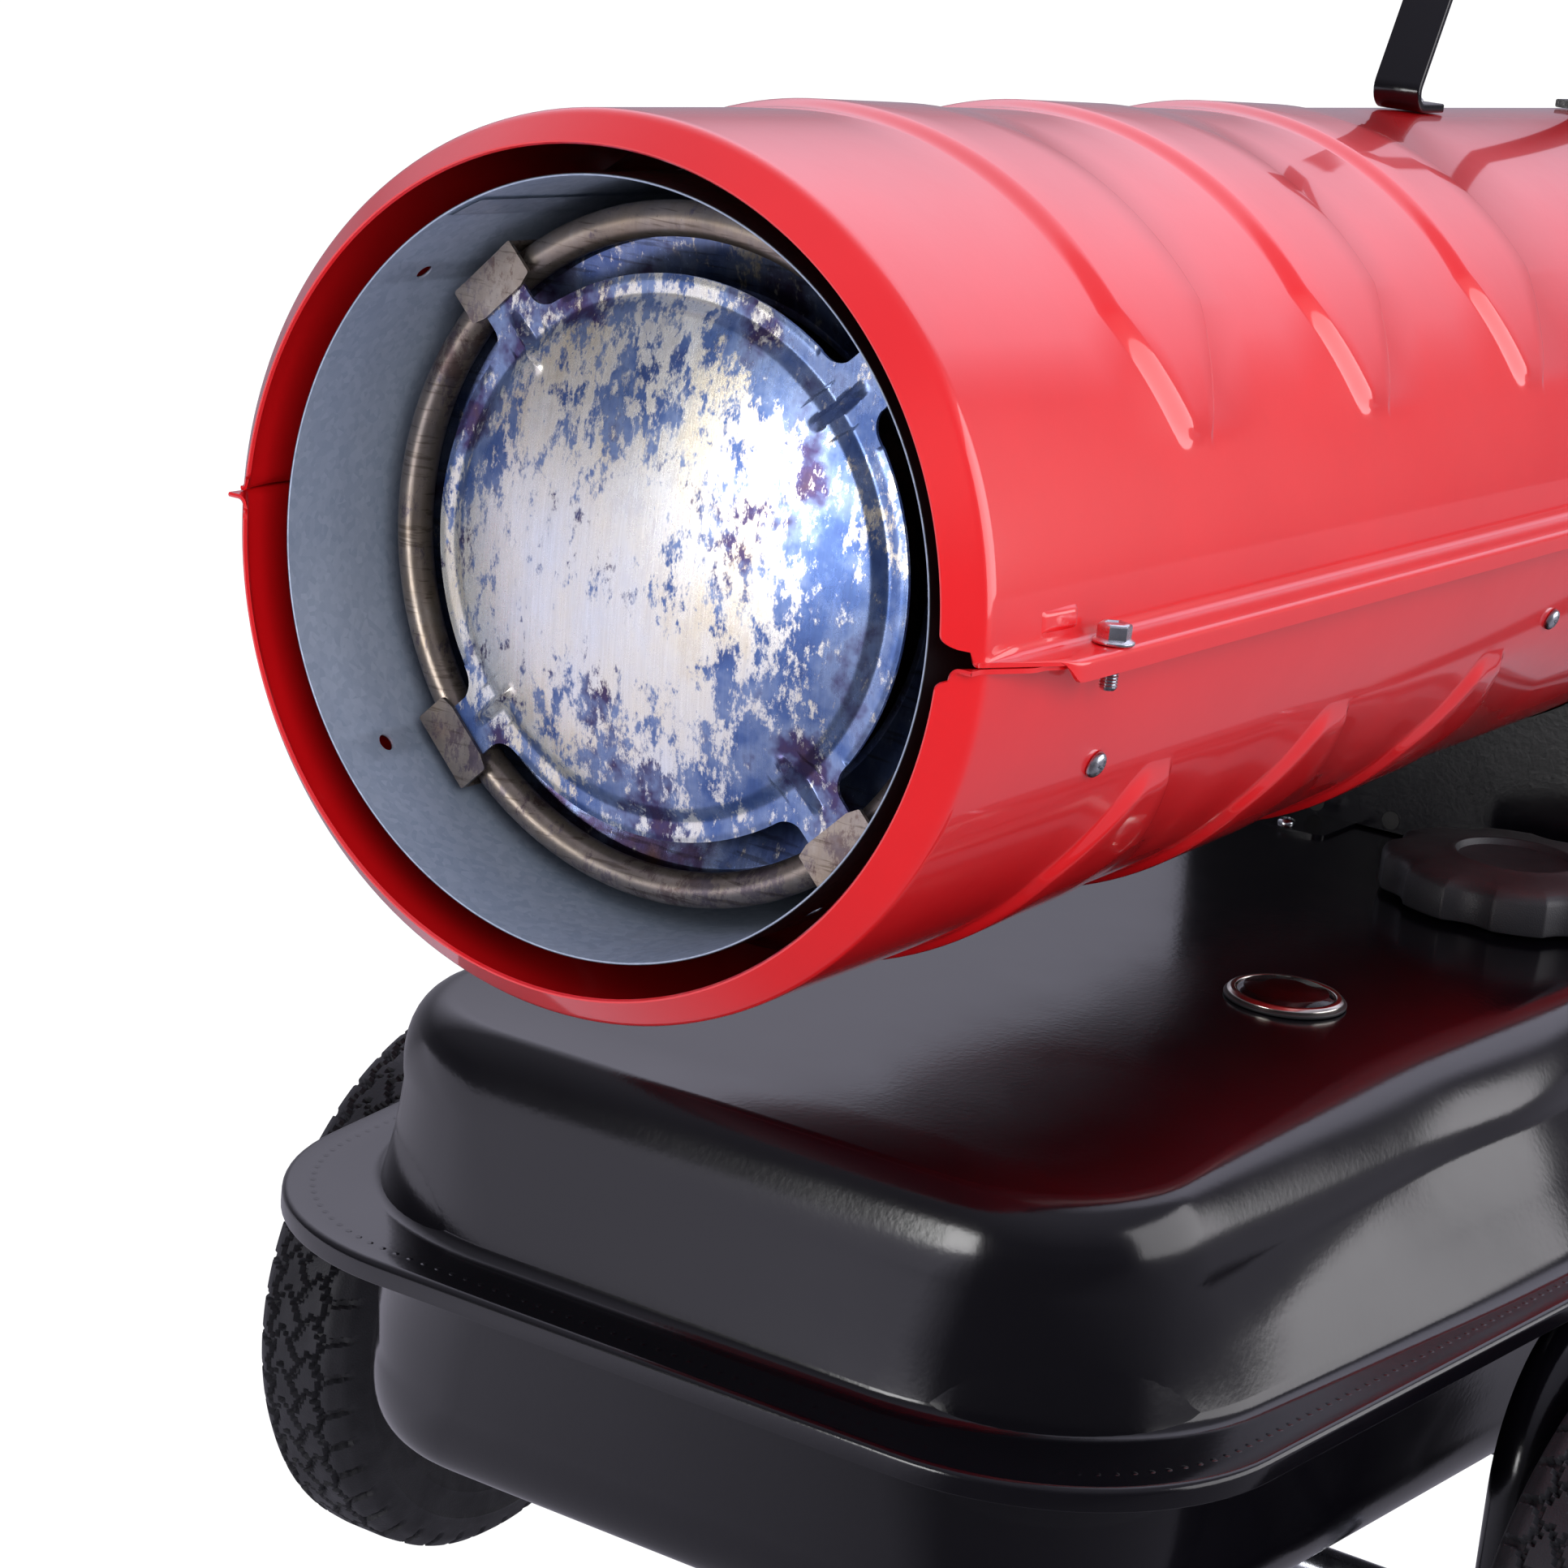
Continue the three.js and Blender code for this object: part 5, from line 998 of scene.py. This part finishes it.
# ------------------------------------------------------------------ wheels
for side in (-1, 1):
    tag = "near" if side < 0 else "far"
    mid = 277.0
    nth = 900
    th = np.linspace(0, 2 * pi, nth, endpoint=False)
    # cross-section from the inner bead to the outer bead
    prof = rounded([(76.3, -21), (82, -24.5), (94, -27.5), (112, -27), (121, -23.5), (126.2, -17), (127, -8), (127, 8), (126.2, 17), (121, 23.5), (112, 27), (94, 27.5), (82, 24.5), (76.3, 21)], 5, 3, False)
    seg = np.linalg.norm(np.diff(prof, axis=0), axis=1)
    cum = np.concatenate([[0], np.cumsum(seg)])
    n = 96
    ds = np.linspace(0, cum[-1], n)
    pr = np.stack([np.interp(ds, cum, prof[:, 0]), np.interp(ds, cum, prof[:, 1])], -1)
    tg = np.gradient(pr, axis=0); tg /= np.linalg.norm(tg, axis=1)[:, None]
    nr = np.stack([-tg[:, 1], tg[:, 0]], -1)
    nr *= np.sign((nr * (pr - [100, 0])).sum(1))[:, None]
    ty = pr[:, 1]
    N = 46
    ph1 = th[None, :] * N / (2 * pi)
    yy = ty[:, None]
    rad = pr[:, 0][:, None]
    ay = np.abs(yy)
    tri = lambda q: np.abs((q % 1.0) - 0.5) * 4 - 1
    groove = np.zeros((n, nth))
    centre = np.abs(yy - 2.6 * tri(ph1)) < 1.15
    ring = np.abs(ay - (13.2 + 2.0 * tri(ph1 + 0.25))) < 1.05
    slant = ph1 + np.where(yy > 0, 0.5, 0) + 0.42 * np.where((ay > 7.5) & (ay < 13.5), (13.5 - ay) / 6 * 2 - 1, np.where(ay <= 7.5, ay / 7.5 * 2 - 1, 1))
    lat = np.abs((slant % 1.0) - 0.5) < 0.06
    crown = ay < 13.5
    shoulder = (ay >= 13.2) & (rad > 117)
    sl2 = np.abs(((ph1 + np.where(yy > 0, 0.25, -0.25) + 0.015 * (ay - 14)) % 1.0) - 0.5) < 0.10
    groove = np.where(crown & (centre | lat), 2.6, 0)
    groove = np.where(ring & (rad > 118), 2.6, groove)
    groove = np.where(shoulder & sl2, 2.8 * np.clip((rad - 117) / 5, 0, 1), groove)
    # sidewall rings
    wall = (rad <= 113) & (rad > 80)
    groove = groove - np.where(wall, 0.7 * ((np.abs(rad - 109.5) < 1.1) | (np.abs(rad - 98) < 0.9) | (np.abs(rad - 86) < 1.4)), 0)
    g = groove[..., None]
    rr = rad - g[..., 0] * nr[:, 0][:, None]
    y2 = yy - g[..., 0] * nr[:, 1][:, None]
    P = np.stack([WX + rr * np.cos(th)[None, :], side * (mid + y2), WZ + rr * np.sin(th)[None, :]], -1)
    sh = Shape()
    sh.grid(P, cv=True)
    sh.grid(np.stack([P[0], P[-1]], 0), cv=True)
    put(f"tyre_tread_{tag}", sh, TYRE, f"wheel_{tag}", [f"tyre_{tag}"], sharp=40)

    rp = rounded([(8.4, -25), (17, -25), (19, 1.5), (30, 2.5), (56, 2), (68, -8), (70, -20.5), (75.8, -23), (78.5, -22.5), (78.5, -21), (75.9, -20), (70.5, -12), (70.5, 12), (75.9, 20), (78.5, 21), (78.5, 22.5), (75.8, 23),
                  (69, 20.5), (67, 8), (57, 5.5), (30, 6), (20, 7), (17, 25), (8.4, 25)], 1.6, 4)
    t2 = np.linspace(0, 2 * pi, 240, endpoint=False)
    Rg, Tg = np.meshgrid(rp[:, 0], t2, indexing="ij")
    Yg = np.broadcast_to(rp[:, 1][:, None], Rg.shape).copy()
    web = smooth((Rg - 24) / 6) * (1 - smooth((Rg - 52) / 6))
    spoke = smooth((np.abs(((Tg * 6 / (2 * pi)) % 1.0) - 0.5) * 2 - 0.25) / 0.25)
    Yg = Yg + web * 2.4 * spoke
    P = np.stack([WX + Rg * np.cos(Tg), side * (mid + Yg), WZ + Rg * np.sin(Tg)], -1)
    sh = Shape()
    sh.grid(P, cu=True, cv=True)
    put(f"rim_{tag}", sh, SATIN, f"wheel_{tag}", [f"wheel_rim_{tag}"], sharp=45)
    hp = rounded([(0, 314.5), (8, 314.3), (13.6, 310), (14.5, 302.8), (8.4, 302.8), (8.4, 309.4), (0, 309.4)], [0, 3, 3, 0.5, 0.4, 0.4, 0], 4)
    sh = revolve(np.array([(r, side * y) for r, y in hp]), "y", (WX, 0, WZ), 48)
    put(f"axle_cap_{tag}", sh, SATIN, "heater", [f"hub_cap_{tag}"])

# ------------------------------------------------------------------ rear guard
GR = 145 - 1.5 - 0.3 - 0.6
sh = revolve(rounded([(GR, 886), (GR, 902), (GR + 3, 902), (GR + 3, 906), (GR - 2, 906), (GR - 2, 886)], 1.0, 3), "x", segs=128)
for r in (127, 110, 93, 76, 59, 43):
    t = np.linspace(0, 2 * pi, 97)[:-1]
    x = 905.5 + 3.0 * (1 - (r / GR) ** 2)
    prof = [(r + 1.5 * math.cos(q), x + 1.5 * math.sin(q)) for q in np.linspace(0, 2 * pi, 10, endpoint=False)]
    revolve(np.array(prof), "x", segs=96, shape=sh)
revolve(rounded([(0, 906), (33, 906), (34, 908.8), (0, 910)], [0, 0.5, 1, 0], 3), "x", segs=64, shape=sh)
for k in range(6):
    t = k * pi / 3 + pi / 6
    rr = np.linspace(30, GR - 1, 8)
    xx = 903.8 + 3.0 * (1 - (rr / GR) ** 2)
    path = np.stack([xx, rr * math.cos(t), rr * math.sin(t)], -1)
    sweep(path, circle(1.7, 10), sh, up=(1, 0, 0))
put("rear_guard", sh, SATIN, "heater", ["rear_grille"], sharp=45)

# ------------------------------------------------------------------ support box, covers and controls
BX0, BX1, BY, BZ = 670.0, 884.0, 100.0, TT + 0.3


def saddle(x0, x1, y0, y1, zb, steps=40):
    """Meant for a vertical plate whose top edge follows the barrel; the body is empty, so it draws nothing and returns
    None.
    """
    pass


sh = Shape()
ys = np.linspace(-BY, BY, 81)
top = -np.sqrt((R0 + 0.6) ** 2 - ys ** 2)
for x in (BX0, BX1 - 1.5):
    o = np.vstack([np.stack([ys, top], -1), [[BY, BZ]], [[-BY, BZ]]])
    prism(o, x, x + 1.5, "x", sh)
block(BX0, BX1, -BY, BY, BZ, BZ + 1.5, sh)
prism(rounded([(BX0 - 38, 14), (BX0 + 1, 14), (BX0 + 1, BY - 40), (BX0 - 38, BY - 40)], [6, 0, 0, 6], 5), BZ, BZ + 1.5, "z", sh)
for y in (-BY, BY - 1.5):
    for x in (BX0, BX1 - 12):
        block(x, x + 12, y, y + 1.5, BZ, -110, sh)
put("box_body", sh, BLACK, "heater", ["support_box"], sharp=40)
# near-black discs on the box's front plate stand for its two holes: painted shade
for y in (-4, 36):
    sh = revolve(rounded([(0.0, BX0 - 0.4), (4.5, BX0 - 0.4), (4.5, BX0 - 0.05), (0.0, BX0 - 0.05)], [0, 0.1, 0.1, 0], 2), "x", (0, y, BZ + 7.2), 24)
    put(f"box_hole_shade_{y + 10}", sh, FOAM, "heater", ())
cross_screw("box_foot_screw", (641, 37, BZ + 1.5), (0, 0, 1), 4.4, 2.6)
PYF = -(BY + 0.3 + 1.5 + 0.3)
for x, z in ((750, -130), (862, -130), (750, -188), (862, -188)):
    cross_screw(f"panel_screw_{x}_{-z}", (x, PYF - 3, z), (0, -1, 0), 3.2, 1.8)

# knob with a printed scale of plain ticks round it
KNX, CZ = 836.0, -158.0
ph = np.linspace(0, 2 * pi, 240, endpoint=False)
fl = 1.6 * smooth((np.abs(((ph * 16 / (2 * pi)) % 1.0) - 0.5) * 2 - 0.3) / 0.5)
rows = []
for r, y, f in ((3.9, PYF + 8, 0), (3.9, PYF - 3.3, 0), (19, PYF - 3.3, 0), (19, PYF - 6.2, 0), (18.2, PYF - 7.2, 0), (17, PYF - 7.8, 1), (15.6, PYF - 19.5, 1), (14.8, PYF - 21.3, 1), (13, PYF - 22.2, 0.4), (0.0, PYF - 22.2, 0)):
    rr = r - fl * f
    rows.append(np.stack([KNX + rr * np.cos(ph), np.full_like(ph, y), CZ + rr * np.sin(ph)], -1))
sh = Shape()
sh.grid(np.array(rows), cv=True)
sh.add(rows[0], [list(range(len(ph)))])
put("dial_knob", sh, PLASTIC, "knob", ["thermostat_knob"], sharp=40)
sh = block(KNX - 0.7, KNX + 0.7, PYF - 22.5, PYF - 22.0, CZ + 5, CZ + 13)
put("knob_pointer", sh, GREYD, "knob", ())
sh = Shape()
for k in range(11):
    t = math.radians(225 - 27 * k)
    c, s = math.cos(t), math.sin(t)
    v = [(KNX + r * c - w * s, y, CZ + r * s + w * c) for r in (21.5, 24.5) for w in (-0.35, 0.35) for y in (PYF - 3.0, PYF - 3.15)]
    sh.add(v, [(0, 1, 3, 2), (4, 6, 7, 5), (0, 4, 5, 1), (2, 3, 7, 6), (0, 2, 6, 4), (1, 5, 7, 3)])
put("scale_ticks", sh, GREYD, "heater", ())

# ------------------------------------------------------------------ floor, light, camera
bpy.ops.mesh.primitive_circle_add(vertices=128, radius=9.0, fill_type="NGON", location=(0, 0, -0.0005))
floor = bpy.context.object
floor.name = "studio_floor"
fm, nt, b, tc = new_mat("studio_floor_paint")
nt.links.new(ramp(nt, noise(nt, tc, 2, 2), [(0.3, (0.53, 0.53, 0.55)), (0.7, (0.57, 0.57, 0.59))]), b.inputs["Base Color"])
nt.links.new(remap(nt, noise(nt, tc, 5, 2), 0.7, 0.8), b.inputs["Roughness"])
b.inputs["Specular IOR Level"].default_value = 0.1
bump(nt, b, noise(nt, tc, 60, 2), 0.02, 0.0005)
lpf = nt.nodes.new("ShaderNodeLightPath")
emf = nt.nodes.new("ShaderNodeEmission")
emf.inputs["Strength"].default_value = 1.22
mxf = nt.nodes.new("ShaderNodeMixShader")
keep = math_node(nt, "MULTIPLY", lpf.outputs["Is Camera Ray"], 0.85)
nt.links.new(keep, mxf.inputs[0])
nt.links.new(b.outputs[0], mxf.inputs[1])
nt.links.new(emf.outputs[0], mxf.inputs[2])
xyz = nt.nodes.new("ShaderNodeSeparateXYZ")
nt.links.new(tc.outputs["Object"], xyz.inputs[0])
ahead = remap(nt, xyz.outputs["X"], 1.0, 0.0, -0.8, 0.1)
beyond = remap(nt, xyz.outputs["Y"], 0.0, 1.0, -0.1, 0.4)
bright = math_node(nt, "MULTIPLY", math_node(nt, "MULTIPLY", ahead, beyond), 0.70)
shade = math_node(nt, "MULTIPLY", math_node(nt, "MULTIPLY", ahead, math_node(nt, "SUBTRACT", 1.0, beyond)), -0.20)
sheen = math_node(nt, "ADD", math_node(nt, "ADD", bright, shade), 0.30)
emg = nt.nodes.new("ShaderNodeEmission")
emg.inputs["Color"].default_value = (0.92, 0.89, 1.07, 1)
nt.links.new(sheen, emg.inputs["Strength"])
mxg = nt.nodes.new("ShaderNodeMixShader")
nt.links.new(lpf.outputs["Is Glossy Ray"], mxg.inputs[0])
nt.links.new(mxf.outputs[0], mxg.inputs[1])
nt.links.new(emg.outputs[0], mxg.inputs[2])
nt.links.new(mxg.outputs[0], [n for n in nt.nodes if n.type == "OUTPUT_MATERIAL"][0].inputs[0])
floor.data.materials.append(fm)

w = bpy.data.worlds.new("studio")
scene.world = w
w.use_nodes = True
nt = w.node_tree
nt.nodes.clear()
out = nt.nodes.new("ShaderNodeOutputWorld")
bg1 = nt.nodes.new("ShaderNodeBackground")
tcw = nt.nodes.new("ShaderNodeTexCoord")
sep = nt.nodes.new("ShaderNodeSeparateXYZ")
nt.links.new(tcw.outputs["Generated"], sep.inputs[0])
rear = remap(nt, sep.outputs["X"], 0.0, 1.0, -0.10, 0.55)
far = remap(nt, sep.outputs["Y"], 0.0, 1.0, -0.36, -0.24)
climb = remap(nt, sep.outputs["Z"], 0.22, 1.12, 0.18, 0.52)
lobe = math_node(nt, "MULTIPLY", math_node(nt, "MULTIPLY", rear, far), climb)
level = math_node(nt, "ADD", lobe, math_node(nt, "MULTIPLY", remap(nt, sep.outputs["Z"], 0.0, 1.0, 0.2, 0.9), 0.35))
level = math_node(nt, "ADD", level, 0.14)
bg1.inputs[0].default_value = (0.84, 0.82, 1.0, 1)
nt.links.new(level, bg1.inputs[1])
bg2 = nt.nodes.new("ShaderNodeBackground")
bg2.inputs[0].default_value = (1, 1, 1, 1)
bg2.inputs[1].default_value = 1.1
lp = nt.nodes.new("ShaderNodeLightPath")
mx = nt.nodes.new("ShaderNodeMixShader")
nt.links.new(lp.outputs["Is Camera Ray"], mx.inputs[0])
nt.links.new(bg1.outputs[0], mx.inputs[1])
nt.links.new(bg2.outputs[0], mx.inputs[2])
nt.links.new(mx.outputs[0], out.inputs[0])


def area(name, loc, target, sx, sy, power, color=(1, 1, 1)):
    d = bpy.data.lights.new(name, "AREA")
    d.shape = "RECTANGLE"
    d.size, d.size_y, d.energy, d.color = sx, sy, power, color
    o = bpy.data.objects.new(name, d)
    scene.collection.objects.link(o)
    o.location = loc
    o.rotation_mode = "QUATERNION"
    o.rotation_quaternion = (Vector(target) - Vector(loc)).to_track_quat("-Z", "Y")
    return o


area("near_wall", (1.9, -3.7, 1.65), (0.3, 0.0, 0.75), 4.6, 2.7, 105, (0.985, 0.965, 1.0))
area("front_softbox", (-3.3, 0.72, 0.53), (-0.45, 0.0, 0.53), 1.1, 0.80, 25)
fill = area("camera_fill", (-3.2, -3.2, 2.3), (0.0, 0.0, 0.6), 2.6, 2.2, 135, (1.0, 0.99, 0.99))
fill.visible_glossy = False
top = area("top_fill", (0.3, -0.3, 3.1), (0.1, 0.0, 0.5), 2.6, 2.2, 18, (0.98, 0.98, 1.0))
top.visible_glossy = False

cam_d = bpy.data.cameras.new("camera")
cam = bpy.data.objects.new("camera", cam_d)
scene.collection.objects.link(cam)
scene.camera = cam
yaw, pitch, roll = math.radians(29.18), math.radians(11.79), math.radians(6.65)
F = np.array([math.cos(pitch) * math.cos(yaw), math.cos(pitch) * math.sin(yaw), -math.sin(pitch)])
Rt = np.array([math.sin(yaw), -math.cos(yaw), 0])
U = np.cross(Rt, F)
R2 = math.cos(roll) * Rt + math.sin(roll) * U
U2 = -math.sin(roll) * Rt + math.cos(roll) * U
pos = world(np.array([-6.6614, -4.8773, 1.7243]) * 135.0)
cam.matrix_world = Matrix(((R2[0], U2[0], -F[0], pos[0]), (R2[1], U2[1], -F[1], pos[1]), (R2[2], U2[2], -F[2], pos[2]), (0, 0, 0, 1)))
cam_d.sensor_width = 36.0
cam_d.lens = 4473.1 / 1932 * 36.0
cam_d.shift_x = (966 - 1241.0) / 1932
cam_d.shift_y = (766.5 - 966) / 1932
cam_d.clip_start, cam_d.clip_end = 0.05, 100

scene.view_settings.view_transform = "Standard"
scene.view_settings.look = "None"
